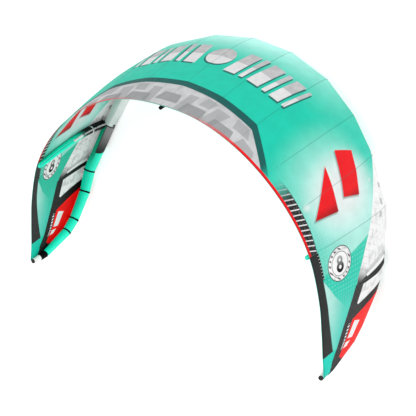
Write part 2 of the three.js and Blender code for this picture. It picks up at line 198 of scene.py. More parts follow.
def segment_tangent(index: int) -> Vector:
    """Direction of a segment of the leading edge chain, outwards from the middle."""
    if index < 0:
        tangent = segment_tangent(0)
        return Vector((tangent.x, -tangent.y, -tangent.z))
    last = min(index, len(LEADING_SEAMS) - 2)
    return (LEADING_SEAMS[last + 1].point - LEADING_SEAMS[last].point).normalized()


@lru_cache(maxsize=None)
def segment_frame(index: int) -> Tuple[Vector, Vector, Vector]:
    """Tangent, outward and forward direction of a segment of the leading edge chain.

    Args:
        index: Number of the segment, 0 beside the middle.

    Returns:
        The three unit directions.
    """
    tangent = segment_tangent(index)
    if index == 0:
        outward = (Vector((0, 0, 1)) - tangent * tangent.z).normalized()
    else:
        before, outward_before, _ = segment_frame(index - 1)
        outward = before.rotation_difference(tangent) @ outward_before
    return tangent, outward, outward.cross(tangent).normalized()


@lru_cache(maxsize=None)
def trailing_point(rib: float) -> Vector:
    """Point of the smooth trailing edge, on the centripetal curve through its points.

    Args:
        rib: Signed rib position.

    Returns:
        The point in the flying attitude.
    """
    right = [Vector(p) for p in TRAILING_POINTS]
    points = [mirrored(p, -1) for p in reversed(right[1:])] + right
    last = len(points) - 1
    place = min(max((rib / TIP_RIB + 1) / 2, 0.0), 1.0) * last
    start = min(int(place), last - 1)
    part = place - start
    p1, p2 = points[start], points[start + 1]
    p0 = points[start - 1] if start > 0 else 2 * points[0] - points[1]
    p3 = points[start + 2] if start < last - 1 else 2 * points[last] - points[last - 1]
    d0, d1, d2 = (math.sqrt((b - a).length) for a, b in ((p0, p1), (p1, p2), (p2, p3)))
    t1 = ((p1 - p0) / d0 - (p2 - p0) / (d0 + d1) + (p2 - p1) / d1) * d1
    t2 = ((p2 - p1) / d1 - (p3 - p1) / (d1 + d2) + (p3 - p2) / d2) * d1
    cubic = 2 * p1 - 2 * p2 + t1 + t2
    square = -3 * p1 + 3 * p2 - 2 * t1 - t2
    return p1 + t1 * part + square * part**2 + cubic * part**3


def camber_at(rib: float) -> Camber:
    """Camber at a rib position, straight between the given ones."""
    index = next((i for i in range(len(CAMBERS) - 2) if rib <= CAMBERS[i + 1].rib), len(CAMBERS) - 2)
    low, high = CAMBERS[index], CAMBERS[index + 1]
    part = (rib - low.rib) / (high.rib - low.rib)
    return Camber(rib, between(low.lift_deg, high.lift_deg, part), between(low.belly, high.belly, part))


@dataclass(frozen=True)
class RibCurve:
    """Cubic curve of a rib from the tube to the trailing edge, on the right half wing."""

    controls: Tuple[Vector, Vector, Vector, Vector]
    outward: Vector
    back: Vector

    def point(self, part: float) -> Vector:
        """Point of the curve."""
        a, b, c, d = self.controls
        rest = 1.0 - part
        return a * rest**3 + b * (3 * rest * rest * part) + c * (3 * rest * part * part) + d * part**3

    def tangent(self, part: float) -> Vector:
        """Direction of the curve."""
        a, b, c, d = self.controls
        rest = 1.0 - part
        slope = (b - a) * rest * rest + (c - b) * 2 * rest * part + (d - c) * part * part
        return slope.normalized()

    @property
    def length(self) -> float:
        """Length of the curve in mm."""
        points = [self.point(i / 40) for i in range(41)]
        return sum((b - a).length for a, b in zip(points, points[1:]))


@lru_cache(maxsize=None)
def rib_curve(rib: float) -> RibCurve:
    """The rib at a position on the right half wing.

    Args:
        rib: Rib position from 0 to 10.

    Returns:
        The rib's curve in the flying attitude.
    """
    front_handle, rear_handle, stand_off = 0.2, 0.6, 1.6
    index = min(int(rib), int(TIP_RIB) - 1)
    part = rib - index
    low, high = LEADING_SEAMS[index], LEADING_SEAMS[index + 1]
    axis_point = low.point.lerp(high.point, part)
    axis = segment_tangent(index)
    stretch = 1.0
    if part < 1e-6 or part > 1 - 1e-6:
        seam = round(rib)
        axis = (segment_tangent(seam - 1) + segment_tangent(seam)).normalized()
        stretch = 1.0 / axis.dot(segment_tangent(seam))
    end = trailing_point(rib)
    chord = (end - axis_point).length
    back = (end - axis_point).normalized()
    step = 0.05
    edge = trailing_point(min(rib + step, TIP_RIB)) - trailing_point(max(rib - step, -TIP_RIB))
    outward = back.cross(edge.normalized()).normalized()
    camber = camber_at(rib)
    lift = math.radians(camber.lift_deg)
    leave = outward * math.cos(lift) - back * math.sin(lift)
    leave = (leave - axis * leave.dot(axis)).normalized()
    start = axis_point + leave * ((between(low.r, high.r, part) + stand_off) * stretch)
    along = back * math.cos(lift) + outward * math.sin(lift)
    second = start + along * (front_handle * chord)
    third = axis_point + back * (rear_handle * chord) + outward * (camber.belly * chord)
    return RibCurve((start, second, third, end), outward, back)


def canopy_spot(rib: float, part: float) -> Spot:
    """Place on the canopy's middle surface.

    Args:
        rib: Signed rib position.
        part: 0 at the tube, 1 at the trailing edge; past 1 it runs on straight.

    Returns:
        The place, with the outward normal and the direction to the rear.
    """
    curve = rib_curve(round(abs(rib), 6))
    sign = -1.0 if rib < 0 else 1.0
    inside = min(part, 1.0)
    tangent = curve.tangent(inside)
    point = curve.point(inside)
    if part > 1.0:
        point = point + tangent * ((part - 1.0) * curve.length)
    normal = (curve.outward - tangent * curve.outward.dot(tangent)).normalized()
    return Spot(mirrored(point, sign), mirrored(normal, sign), mirrored(tangent, sign))


def strip_edge(rib: float) -> float:
    """Place along the rib at which the dark strip of the wing tip begins.

    Args:
        rib: Signed rib position.

    Returns:
        The place, 0 at the tube and 1 at the trailing edge.
    """
    width_top, width_bottom, flare = 85.0, 155.0, 2.2
    place = min(max(abs(rib), STRUT_RIB), STRIP_END_RIB)
    width = between(width_top, width_bottom, ((place - STRUT_RIB) / (STRIP_END_RIB - STRUT_RIB)) ** flare)
    curve = rib_curve(round(max(abs(rib), STRUT_RIB), 6))
    step = 0.1
    speed = (curve.point(1.0) - curve.point(1.0 - step)).length / step
    return 1.0 - width / speed


def tube_spot(rib: float, angle: float, lift: float = 0.0) -> Spot:
    """Place on the leading edge tube.

    Args:
        rib: Signed rib position; past 10 it runs on along the tip fitting.
        angle: Angle round the tube: 0 outward, a quarter turn forward, a half turn inward.
        lift: Height over the tube's surface in mm.

    Returns:
        The place, with the tube's radial direction as its normal.
    """
    sign = -1.0 if rib < 0 else 1.0
    place = abs(rib)
    index = min(int(place), len(LEADING_SEAMS) - 2)
    part = place - index
    tangent, outward, forward = segment_frame(index)
    spoke = outward * math.cos(angle) + forward * math.sin(angle)
    ends = []
    for seam in (index, index + 1):
        station = LEADING_SEAMS[seam]
        corner = station.point + spoke * (station.r + lift)
        mitre = (segment_tangent(seam - 1) + segment_tangent(seam)).normalized()
        shift = (station.point - corner).dot(mitre) / tangent.dot(mitre)
        ends.append(corner + tangent * shift)
    point = ends[0].lerp(ends[1], part)
    return Spot(mirrored(point, sign), mirrored(spoke, sign), mirrored(tangent, sign))


def segment_length(rib: float) -> float:
    """Length in mm of the tube segment at a signed rib position."""
    index = min(int(abs(rib)), len(LEADING_SEAMS) - 2)
    return (LEADING_SEAMS[index + 1].point - LEADING_SEAMS[index].point).length


# Mesh helpers


Placed = Tuple[Vector, Corner]
Placer = Callable[[float, float], Placed]


def smooth_piece(name: str, bm: bmesh.types.BMesh) -> Piece:
    """Turns a bmesh into a smooth object of the scene, and frees it.

    Args:
        name: Name of the piece.
        bm: The finished bmesh.

    Returns:
        The new object.
    """
    for face in bm.faces:
        face.smooth = True
    mesh = bpy.data.meshes.new(name)
    bm.to_mesh(mesh)
    bm.free()
    piece = bpy.data.objects.new(name, mesh)
    bpy.context.collection.objects.link(piece)
    return piece


def place_grid(
    name: str, across: int, along: int, placer: Placer, closed: bool = False, filled: bool = True
) -> Piece:
    """Lays a grid on a curved surface.

    Args:
        name: Name of the piece.
        across: Number of cells in the first direction.
        along: Number of cells in the second direction.
        placer: Gives for two parts from 0 to 1 the point and its map coordinates.
        closed: True for a tube, whose first and last edge are sewn together.
        filled: False for a tube that stays open at its ends.

    Returns:
        The new object, with the map coordinates in its UV map.
    """
    bm = bmesh.new()
    bmesh.ops.create_grid(bm, x_segments=across, y_segments=along, size=0.5)
    layer = bm.loops.layers.uv.new("cloth")
    places = {v: placer(v.co.x + 0.5, v.co.y + 0.5) for v in bm.verts}
    for face in bm.faces:
        for loop in face.loops:
            loop[layer].uv = places[loop.vert][1]
    for vert, (point, _) in places.items():
        vert.co = point
    if closed:
        bmesh.ops.remove_doubles(bm, verts=bm.verts, dist=MERGE_M)
    if closed and filled:
        bmesh.ops.holes_fill(bm, edges=[edge for edge in bm.edges if edge.is_boundary], sides=0)
    bmesh.ops.recalc_face_normals(bm, faces=bm.faces)
    return smooth_piece(name, bm)


def spun_piece(
    name: str, profile: Sequence[Corner], origin: Vector, direction: Vector, steps: int = 48
) -> Piece:
    """Spins a profile round an axis.

    Args:
        name: Name of the piece.
        profile: Corners as radius and distance along the axis, in metres.
        origin: Point where the axis starts.
        direction: Direction of the axis.
        steps: Number of faces round the axis.

    Returns:
        The new object.
    """
    bm = bmesh.new()
    verts = [bm.verts.new((radius, 0.0, height)) for radius, height in profile]
    edges = [bm.edges.new(pair) for pair in zip(verts, verts[1:])]
    bmesh.ops.spin(
        bm,
        geom=verts + edges,
        cent=(0, 0, 0),
        axis=(0, 0, 1),
        angle=2 * math.pi,
        steps=steps,
        use_merge=True,
    )
    bmesh.ops.remove_doubles(bm, verts=bm.verts, dist=MERGE_M)
    bmesh.ops.recalc_face_normals(bm, faces=bm.faces)
    turn = direction.to_track_quat("Z", "Y").to_matrix().to_4x4()
    bmesh.ops.transform(bm, matrix=Matrix.Translation(origin) @ turn, verts=bm.verts)
    return smooth_piece(name, bm)


def add_thickness(piece: Piece, thickness: float) -> None:
    """Gives a sheet its thickness, half to each side."""
    solidify = piece.modifiers.new("cloth thickness", "SOLIDIFY")
    solidify.thickness = thickness
    solidify.offset = 0.0


def soften_edges(piece: Piece, width: float) -> None:
    """Rounds the sharp edges of a moulded piece."""
    bevel = piece.modifiers.new("round edges", "BEVEL")
    bevel.width = width
    bevel.segments = 3
    bevel.limit_method = "ANGLE"
    bevel.angle_limit = math.radians(40)


def dress(piece: Piece, material: Material, slot: str, *nodes: str) -> Piece:
    """Gives a piece its material and its body, and hides the nodes that it stands for.

    Args:
        piece: The piece.
        material: Its material.
        slot: Name of its record slot; not used.
        nodes: Names of the nodes that it stands for; none for a trim.

    Returns:
        The piece.
    """
    piece.data.materials.clear()
    piece.data.materials.append(material)
    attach(piece, "root")
    if nodes:
        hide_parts(*nodes)
    LOG.info("%s: %d faces, for %d nodes", piece.name, len(piece.data.polygons), len(nodes))
    return piece


def both_sides(stem: str, first: int, last: int) -> Tuple[str, ...]:
    """Names of the numbered nodes of both half wings."""
    return tuple(f"{stem}_{n}_{side.word}" for side in Side for n in range(first, last + 1))


# Shader helpers


class Graph:
    """Adds and wires the nodes of one shader tree."""

    def __init__(self, tree: Tree) -> None:
        """Keeps the tree that the nodes go to."""
        self.tree = tree

    def node(self, kind: str, **settings: object) -> Node:
        """Adds a node and sets its properties."""
        node = self.tree.nodes.new(kind)
        for key, value in settings.items():
            setattr(node, key, value)
        return node

    def feed(self, socket: Socket, value: object) -> None:
        """Links a socket to another one, or sets its value.

        Args:
            socket: Input of a node.
            value: Output to link, or the value to set.
        """
        if isinstance(value, Socket):
            self.tree.links.new(value, socket)
        elif isinstance(value, tuple) and len(value) == 3 and socket.type == "RGBA":
            socket.default_value = (*value, 1.0)
        else:
            socket.default_value = value

    def fill(self, node: Node, **values: object) -> Node:
        """Feeds a node's inputs by name; an underscore in a name stands for a space."""
        for key, value in values.items():
            self.feed(node.inputs[key.replace("_", " ")], value)
        return node

    def math(self, operation: str, a: Value, b: Value = 0.0, c: Value = 0.0, clamp: bool = False) -> Value:
        """One step of arithmetic."""
        node = self.node("ShaderNodeMath", operation=operation, use_clamp=clamp)
        for socket, value in zip(node.inputs, (a, b, c)):
            self.feed(socket, value)
        return node.outputs[0]

    def vector_math(self, operation: str, first: Paint, second: Paint) -> Node:
        """One step of vector arithmetic."""
        node = self.node("ShaderNodeVectorMath", operation=operation)
        self.feed(node.inputs[0], first)
        self.feed(node.inputs[1], second)
        return node

    def dot(self, first: Paint, second: Paint) -> Value:
        """Scalar product of two vectors."""
        return self.vector_math("DOT_PRODUCT", first, second).outputs["Value"]

    def ramp(self, value: Value, low: float, high: float, to_low: float = 0.0, to_high: float = 1.0) -> Value:
        """Soft change from to_low to to_high while the value goes from low to high."""
        node = self.node("ShaderNodeMapRange", interpolation_type="SMOOTHSTEP")
        self.fill(node, Value=value, From_Min=low, From_Max=high, To_Min=to_low, To_Max=to_high)
        return node.outputs["Result"]

    def fall(self, value: Value, low: float, high: float, share: float = 1.0) -> Value:
        """Soft fall from the share to 0 while the value goes from low to high."""
        return self.ramp(value, low, high, share, 0.0)

    def near(self, value: Value, place: float, full: float, gone: float, share: float) -> Value:
        """Mask beside one value, that ends where the distance from it is gone."""
        distance = self.math("ABSOLUTE", self.math("SUBTRACT", value, place))
        return self.fall(distance, full, gone, share)

    def mix(self, mask: Value, below: Paint, above: Paint, share: float = 1.0) -> Paint:
        """Lays one colour over another one through a mask, as strongly as the share says."""
        shown = mask if share == 1.0 else self.both(mask, share)
        node = self.node("ShaderNodeMix", data_type="RGBA")
        return self.fill(node, Factor=shown, A=below, B=above).outputs["Result"]

    def vector(self, x: Value, y: Value) -> Socket:
        """Joins two numbers to a flat vector."""
        return self.fill(self.node("ShaderNodeCombineXYZ"), X=x, Y=y).outputs[0]

    def split(self, vector: Socket) -> Tuple[Value, Value]:
        """First two parts of a vector."""
        outputs = self.fill(self.node("ShaderNodeSeparateXYZ"), Vector=vector).outputs
        return outputs[0], outputs[1]

    def cloth_map(self) -> Tuple[Value, Value]:
        """The piece's own map coordinates."""
        return self.split(self.node("ShaderNodeUVMap", uv_map="cloth").outputs[0])

    def noise(self, vector: Socket, scale: float, detail: float = 2.0) -> Value:
        """Grey noise over the vector."""
        node = self.node("ShaderNodeTexNoise")
        return self.fill(node, Vector=vector, Scale=scale, Detail=detail).outputs[0]

    def bump(self, height: Value, distance: float, strength: float) -> Socket:
        """Normal of a fine relief."""
        node = self.node("ShaderNodeBump")
        return self.fill(node, Height=height, Distance=distance, Strength=strength).outputs[0]

    def both(self, first: Value, second: Value) -> Value:
        """Mask where both masks are, as strong as their product."""
        return self.math("MULTIPLY", first, second)

    def either(self, first: Value, second: Value) -> Value:
        """Mask where one of the masks is."""
        return self.math("MAXIMUM", first, second)

    def without(self, first: Value, second: Value) -> Value:
        """Mask where the first one is and the second one isn't."""
        return self.both(first, self.math("SUBTRACT", 1.0, second))


SocketList = Sequence[Tuple[str, str]]


def new_group(name: str, inputs: SocketList, outputs: SocketList) -> Tree:
    """Makes a shader node group with named sockets.

    Args:
        name: Name of the group.
        inputs: Name and socket type of each input.
        outputs: Name and socket type of each output.

    Returns:
        The group's tree, with its input and output nodes.
    """
    tree = bpy.data.node_groups.new(name, "ShaderNodeTree")
    for way, sockets in (("INPUT", inputs), ("OUTPUT", outputs)):
        for label, kind in sockets:
            tree.interface.new_socket(label, in_out=way, socket_type=kind)
    tree.nodes.new("NodeGroupInput")
    tree.nodes.new("NodeGroupOutput")
    return tree


def group_end(tree: Tree, kind: str) -> Node:
    """The group's input or output node."""
    return next(node for node in tree.nodes if node.bl_idname == kind)


def use_group(graph: Graph, tree: Tree, **values: object) -> Node:
    """Places a group in a tree and feeds its inputs; an underscore in a name stands for a space."""
    return graph.fill(graph.node("ShaderNodeGroup", node_tree=tree), **values)


@lru_cache(maxsize=None)
def weave_group() -> Tree:
    """Group for woven cloth: a net of threads, fine grain and soft creases.

    Returns:
        A group that gives the relief, and a shade to multiply the colour by.
    """
    tree = new_group(
        "woven cloth",
        [("Metres", "NodeSocketVector"), ("Object", "NodeSocketVector"), ("Thread", "NodeSocketFloat")],
        [("Height", "NodeSocketFloat"), ("Shade", "NodeSocketFloat")],
    )
    cloud_scale, grain_scale, thread_share = 9.0, 900.0, 0.08
    cloud_height, grain_height, thread_height, thread_shade = 1.6, 0.05, 0.1, -0.05
    graph = Graph(tree)
    source = group_end(tree, "NodeGroupInput").outputs
    waves = [
        graph.math("PINGPONG", graph.math("DIVIDE", axis, source["Thread"]), 0.5)
        for axis in graph.split(source["Metres"])
    ]
    thread = graph.fall(graph.math("MINIMUM", *waves), 0.0, thread_share)
    clouds = graph.noise(source["Object"], cloud_scale, 3.0)
    grain = graph.noise(source["Object"], grain_scale, 1.0)
    height = graph.math("MULTIPLY_ADD", clouds, cloud_height, graph.math("MULTIPLY", thread, thread_height))
    height = graph.math("MULTIPLY_ADD", grain, grain_height, height)
    shade = graph.math("MULTIPLY_ADD", thread, thread_shade, graph.ramp(clouds, 0.3, 0.7, 0.96, 1.03))
    graph.fill(group_end(tree, "NodeGroupOutput"), Height=height, Shade=shade)
    return tree


# Canopy print


class PrintCanvas(Graph):
    """Canvas on rib position and place along the rib, on which inks are laid over one another."""

    RIB_M = 0.45
    CHORD_M = 1.25
    SOFT_M = 0.004
    DISC_SCALE = (0.47, 1.22)
    DOT_SIZE = 0.7
    STRIPE_BLUR = 0.12

    def __init__(self, tree: Tree, rib: Value, part: Value, ground: Paint) -> None:
        """Keeps the ground colour, the coordinates and their approximate lengths in metres.

        Args:
            tree: Tree that the nodes go to.
            rib: Signed rib position.
            part: Place along the rib.
            ground: Colour before the first ink.
        """
        super().__init__(tree)
        self.colour = ground
        self.rib = self.math("ABSOLUTE", rib)
        self.part = part
        self.x = self.math("MULTIPLY", self.rib, self.RIB_M)
        self.y = self.math("MULTIPLY", part, self.CHORD_M)
        self.place = self.vector(self.x, self.y)

    def lay(self, mask: Value, ink: Paint, share: float = 1.0) -> None:
        """Lays an ink over the colour through a mask, as strongly as the share says."""
        self.colour = self.mix(mask, self.colour, ink, share)

    def metres(self, place: Corner) -> Vector:
        """A rib position and a place along the rib in metres."""
        return Vector((place[0] * self.RIB_M, place[1] * self.CHORD_M))

    def edge(self, start: Corner, end: Corner, soft: float = SOFT_M) -> Value:
        """Mask on the left of a line between two places.

        Args:
            start: Rib and part of the line's start.
            end: Rib and part of its end.
            soft: Width of the line's blur in metres.

        Returns:
            1 on the left of the line when rib runs right and part runs up, else 0.
        """
        run = (self.metres(end) - self.metres(start)).normalized()
        left = Vector((-run.y, run.x))
        offset = 0.5 - left.dot(self.metres(start)) / soft
        across = self.dot(self.place, (left.x, left.y, 0.0))
        return self.math("MULTIPLY_ADD", across, 1.0 / soft, offset, clamp=True)

    def shape(self, corners: Sequence[Corner], soft: float = SOFT_M, shift: Corner = (0.0, 0.0)) -> Value:
        """Mask of a convex shape.

        Args:
            corners: Rib and part of each corner, in order, either way round.
            soft: Width of the outline's blur in metres.
            shift: Added to each corner.

        Returns:
            1 inside the shape, else 0.
        """
        points = [(rib + shift[0], part + shift[1]) for rib, part in corners]
        area = sum(a[0] * b[1] - b[0] * a[1] for a, b in zip(points, points[1:] + points[:1]))
        if area < 0:
            points.reverse()
        sides = [self.edge(start, end, soft) for start, end in zip(points, points[1:] + points[:1])]
        mask = sides[0]
        for side in sides[1:]:
            mask = self.math("MINIMUM", mask, side)
        return mask

    def distance(self, centre: Corner, scale: Corner) -> Value:
        """Distance from a place, with rib position and place along the rib scaled first."""
        x = self.math("MULTIPLY_ADD", self.rib, scale[0], -centre[0] * scale[0])
        y = self.math("MULTIPLY_ADD", self.part, scale[1], -centre[1] * scale[1])
        total = self.math("ADD", self.math("MULTIPLY", x, x), self.math("MULTIPLY", y, y))
        return self.math("SQRT", total)

    def disc(self, centre: Corner, radius: float, soft: float = SOFT_M, scale: Corner = DISC_SCALE) -> Value:
        """Mask of a disc, given its radius in metres."""
        return self.fall(self.distance(centre, scale), radius - soft / 2, radius + soft / 2)

    def ring(self, centre: Corner, outer: float, inner: float) -> Value:
        """Mask of a ring, given its radii in metres."""
        return self.without(self.disc(centre, outer), self.disc(centre, inner))

    def glow(self, centre: Corner, reach: Corner, core: float) -> Value:
        """Soft oval spot.

        Args:
            centre: Rib and part of its middle.
            reach: Half width in ribs and half height in part at which it ends.
            core: Share of the reach that is full.

        Returns:
            1 in the core, falling softly to 0 at the reach.
        """
        return self.fall(self.distance(centre, (1 / reach[0], 1 / reach[1])), core, 1.0)

    def stripes(self, direction: Corner, pitch: float, share: float, through: Corner = (0.0, 0.0)) -> Value:
        """Mask of parallel stripes.

        Args:
            direction: Direction across the stripes, in metres of rib and chord.
            pitch: Distance from one stripe to the next in metres.
            share: Share of the pitch that a stripe takes.
            through: A place that the middle of one stripe goes through.

        Returns:
            1 on the stripes, else 0.
        """
        run = Vector(direction).normalized()
        offset = -run.dot(self.metres(through)) / (pitch / 2)
        turns = self.math("MULTIPLY_ADD", self.dot(self.place, (run.x, run.y, 0.0)), 2 / pitch, offset)
        swing = self.math("PINGPONG", turns, 1.0)
        return self.fall(swing, share - self.STRIPE_BLUR, share + self.STRIPE_BLUR)

    def dots(self, pitch: float) -> Value:
        """Mask of a fine field of dots on a diagonal grid."""
        swings = [
            self.math("SINE", self.math("MULTIPLY", self.math(step, self.x, self.y), 2 * math.pi / pitch))
            for step in ("ADD", "SUBTRACT")
        ]
        return self.ramp(self.math("MULTIPLY", *swings), 1.0 - self.DOT_SIZE, 1.0 - self.DOT_SIZE / 2)

    def clouds(self, scale: float, detail: float, low: float, high: float, share: float = 1.0) -> Value:
        """Mask of soft clouds, where the noise is over the low and the high value."""
        return self.ramp(self.noise(self.place, scale, detail), low, high, 0.0, share)


@dataclass(frozen=True)
class PrintInks:
    """Inks of the canopy's print, and one painted highlight colour."""

    # painted highlight colour, for the front of the middle of the canopy and of the tube
    highlight_mint: Colour = (0.52, 0.97, 0.89)
    teal: Colour = (0.010, 0.560, 0.400)
    light_teal: Colour = (0.09, 0.64, 0.53)
    band: Colour = (0.008, 0.105, 0.095)
    panel: Colour = (0.48, 0.49, 0.50)
    panel_dark: Colour = (0.25, 0.26, 0.265)
    panel_mid: Colour = (0.35, 0.36, 0.37)
    silver: Colour = (0.74, 0.73, 0.74)
    silver_dark: Colour = (0.47, 0.46, 0.47)
    silver_fold: Colour = (0.58, 0.57, 0.58)
    glow: Colour = (0.74, 0.79, 0.78)
    red: Colour = (0.80, 0.008, 0.013)
    tip_red: Colour = (0.93, 0.022, 0.02)
    wine: Colour = (0.16, 0.004, 0.006)
    black: Colour = (0.006, 0.006, 0.006)
    charcoal: Colour = (0.016, 0.017, 0.017)
    white: Colour = (0.86, 0.86, 0.86)
    grey: Colour = (0.40, 0.40, 0.41)
    pale: Colour = (0.50, 0.80, 0.74)
    mist: Colour = (0.58, 0.88, 0.83)
    tip_teal: Colour = (0.012, 0.64, 0.50)


INKS = PrintInks()


class CanopyPrint(PrintCanvas):
    """The canopy's print. Corners and middles of its shapes are rib position and place along the rib."""

    SPARKS = (((4.05, 0.875), 0.060), ((4.32, 0.82), 0.032), ((4.34, 0.22), 0.030))
    BLOCKS = (
        (((0.00, 0.89), (0.22, 0.89), (0.30, 0.96), (0.00, 0.96)), INKS.panel_dark),
        (((0.38, 0.86), (0.62, 0.86), (0.56, 1.0), (0.32, 1.0)), INKS.panel_mid),
        (((0.50, 0.93), (1.02, 0.93), (1.08, 1.0), (0.44, 1.0)), INKS.panel_dark),
        (((0.80, 0.84), (1.10, 0.85), (1.02, 0.91), (0.74, 0.91)), INKS.panel_mid),
        (((1.16, 0.87), (1.50, 0.87), (1.38, 1.0), (1.04, 1.0)), INKS.panel_mid),
        (((1.30, 0.94), (1.82, 0.94), (1.90, 1.0), (1.24, 1.0)), INKS.panel_dark),
        (((1.64, 0.85), (2.00, 0.86), (2.18, 0.92), (1.72, 0.92)), INKS.panel_mid),
        (((2.06, 0.93), (2.46, 0.95), (2.58, 1.0), (2.00, 1.0)), INKS.panel_mid),
    )
    BARS = ((0.38, 0.30), (0.78, 0.11), (0.99, 0.30), (1.39, 0.11), (1.60, 0.26), (1.95, 0.08))
    BAR_TOP, BAR_BOTTOM, BAR_SLANT = 0.320, 0.580, 0.12
    RED_BLOCK = ((3.40, 0.46), (3.62, 0.30), (4.46, 0.405), (4.32, 0.565))
    RED_TRIANGLE = ((3.56, 0.60), (4.50, 0.655), (4.40, 0.86))
    SQUARES = (
        ((4.50, 0.075), (4.60, 0.080), (4.63, 0.030), (4.53, 0.025)),
        ((4.79, 0.125), (4.91, 0.130), (4.95, 0.085), (4.83, 0.078)),
        ((5.00, 0.185), (5.08, 0.190), (5.11, 0.135), (5.03, 0.128)),
    )
    TIP_BARS = (
        ((7.38, 0.47), (7.52, 0.33), (8.02, 0.39), (7.92, 0.52)),
        ((8.10, 0.53), (8.22, 0.41), (8.56, 0.45), (8.50, 0.56)),
    )
    LIGHT_FIELD = ((4.99, 0.30), (5.205, 0.36), (5.354, 0.606), (5.512, 0.934), (4.99, 1.0))
    LADDER_FIELD = ((3.0, 0.928), (3.6, 0.922), (4.5, 0.924), (5.0, 0.936), (5.0, 1.02), (3.0, 1.02))
    RUNG_FIELD = ((3.2, 0.930), (3.6, 0.926), (4.5, 0.928), (4.99, 0.940), (4.99, 0.998), (3.2, 0.998))
    BADGE = (5.43, 0.750)
    TIP_DOTS_M, BAND_DOTS_M = 0.076, 0.052

    def draw(self) -> None:
        """Draws the whole print, from the ground up."""
        self.draw_ground()
        self.draw_middle_panel()
        self.draw_silver_bars()
        self.draw_tip_fields()
        self.draw_front_panel()
        self.draw_red_marks()
        self.draw_tip_stripes()
        self.draw_badge()
        self.draw_ladder()
        self.draw_seams()

    def draw_ground(self) -> None:
        """Teal with a painted highlight at the front of the middle, with a pale glow and fine dots outside.
        """
        # painted highlight: the front of the middle is lightened, strongest at the tube
        self.lay(self.both(self.fall(self.rib, 0.0, 3.8), self.fall(self.part, 0.02, 0.50)), INKS.highlight_mint)
        self.lay(self.ramp(self.rib, 2.6, 4.4), INKS.light_teal, share=0.55)
        self.lay(self.glow((3.90, 0.62), (1.50, 0.50), core=0.10), INKS.mist, share=0.60)
        self.lay(self.glow((4.75, 0.48), (1.10, 0.60), core=0.15), INKS.mist, share=0.80)
        self.lay(self.both(self.dots(self.TIP_DOTS_M), self.ramp(self.rib, 3.2, 4.6)), INKS.pale, share=0.16)
        self.lay(self.glow((4.15, 0.55), (0.95, 0.42), core=0.22), INKS.glow)
        for centre, radius in self.SPARKS:
            self.lay(self.disc(centre, radius / 2, soft=radius), INKS.glow, share=0.75)

    def draw_middle_panel(self) -> None:
        """Grey panel in front of the trailing edge, framed by a dark band."""
        outer = self.both(self.edge((0, 0.770), (2.0, 0.802)), self.edge((2.0, 0.802), (3.2, 1.0)))
        inner = self.both(self.edge((0, 0.815), (2.0, 0.850)), self.edge((2.02, 0.850), (2.92, 1.0)))
        self.lay(self.both(outer, self.ramp(self.rib, 2.75, 3.15, 1.0, 0.15)), INKS.band)
        panel = self.mix(self.clouds(8.0, 2.0, 0.35, 0.65, share=0.35), INKS.panel, INKS.silver)
        for corners, ink in self.BLOCKS:
            panel = self.mix(self.shape(corners), panel, ink, share=0.8)
        self.lay(inner, panel)

    def draw_silver_bars(self) -> None:
        """Row of slanted silver bars on each side of a disc in the middle, with a dark shadow."""
        bars = [
            (
                (start + self.BAR_SLANT, self.BAR_TOP),
                (start + self.BAR_SLANT + width, self.BAR_TOP),
                (start + width, self.BAR_BOTTOM),
                (start, self.BAR_BOTTOM),
            )
            for start, width in self.BARS
        ]
        folds = self.clouds(16.0, 3.0, 0.35, 0.65)
        rear = self.mix(folds, INKS.silver, INKS.silver_fold, share=0.3)
        front = self.mix(folds, INKS.silver_dark, INKS.silver_fold, share=0.6)
        metal = self.mix(self.ramp(self.part, 0.455, 0.460), front, rear)
        for shift, ink, share in (((0.030, 0.016), INKS.band, 0.9), ((0.0, 0.0), metal, 1.0)):
            mask = self.disc((shift[0] * 0.5, 0.45 + shift[1]), 0.135, scale=(0.43, 1.30))
            for corners in bars:
                mask = self.either(mask, self.shape(corners, shift=shift))
            self.lay(mask, ink, share)

    def draw_tip_fields(self) -> None:
        """Teal fields of the wing tip: a dotted field, a pale fading triangle and a plain corner."""
        field = self.shape(((5.10, 0.30), (8.4, 0.30), (8.4, 1.02), (5.02, 1.02)), soft=0.10)
        teal = self.mix(self.ramp(self.rib, 5.0, 7.6), INKS.teal, INKS.light_teal)
        light = self.both(
            self.shape(self.LIGHT_FIELD, soft=0.012),
            self.ramp(self.part, 0.55, 0.95, 0.70, 0.22),
        )
        teal = self.mix(light, teal, INKS.mist)
        dots = self.both(self.dots(self.TIP_DOTS_M), self.math("MULTIPLY_ADD", light, -0.1, 0.20))
        self.lay(field, self.mix(dots, teal, INKS.pale), share=0.92)
        triangle = self.shape(((5.549, 0.945), (6.60, 0.690), (8.15, 0.790), (8.15, 1.0)), soft=0.008)
        fade = self.both(
            self.ramp(self.part, 0.69, 0.92, 0.06, 0.90),
            self.ramp(self.rib, 5.9, 8.2, 1.0, 0.15),
        )
        self.lay(self.both(triangle, fade), INKS.pale)
        self.lay(self.edge((8.02, 1.0), (8.02, 0.6), soft=0.01), INKS.tip_teal)

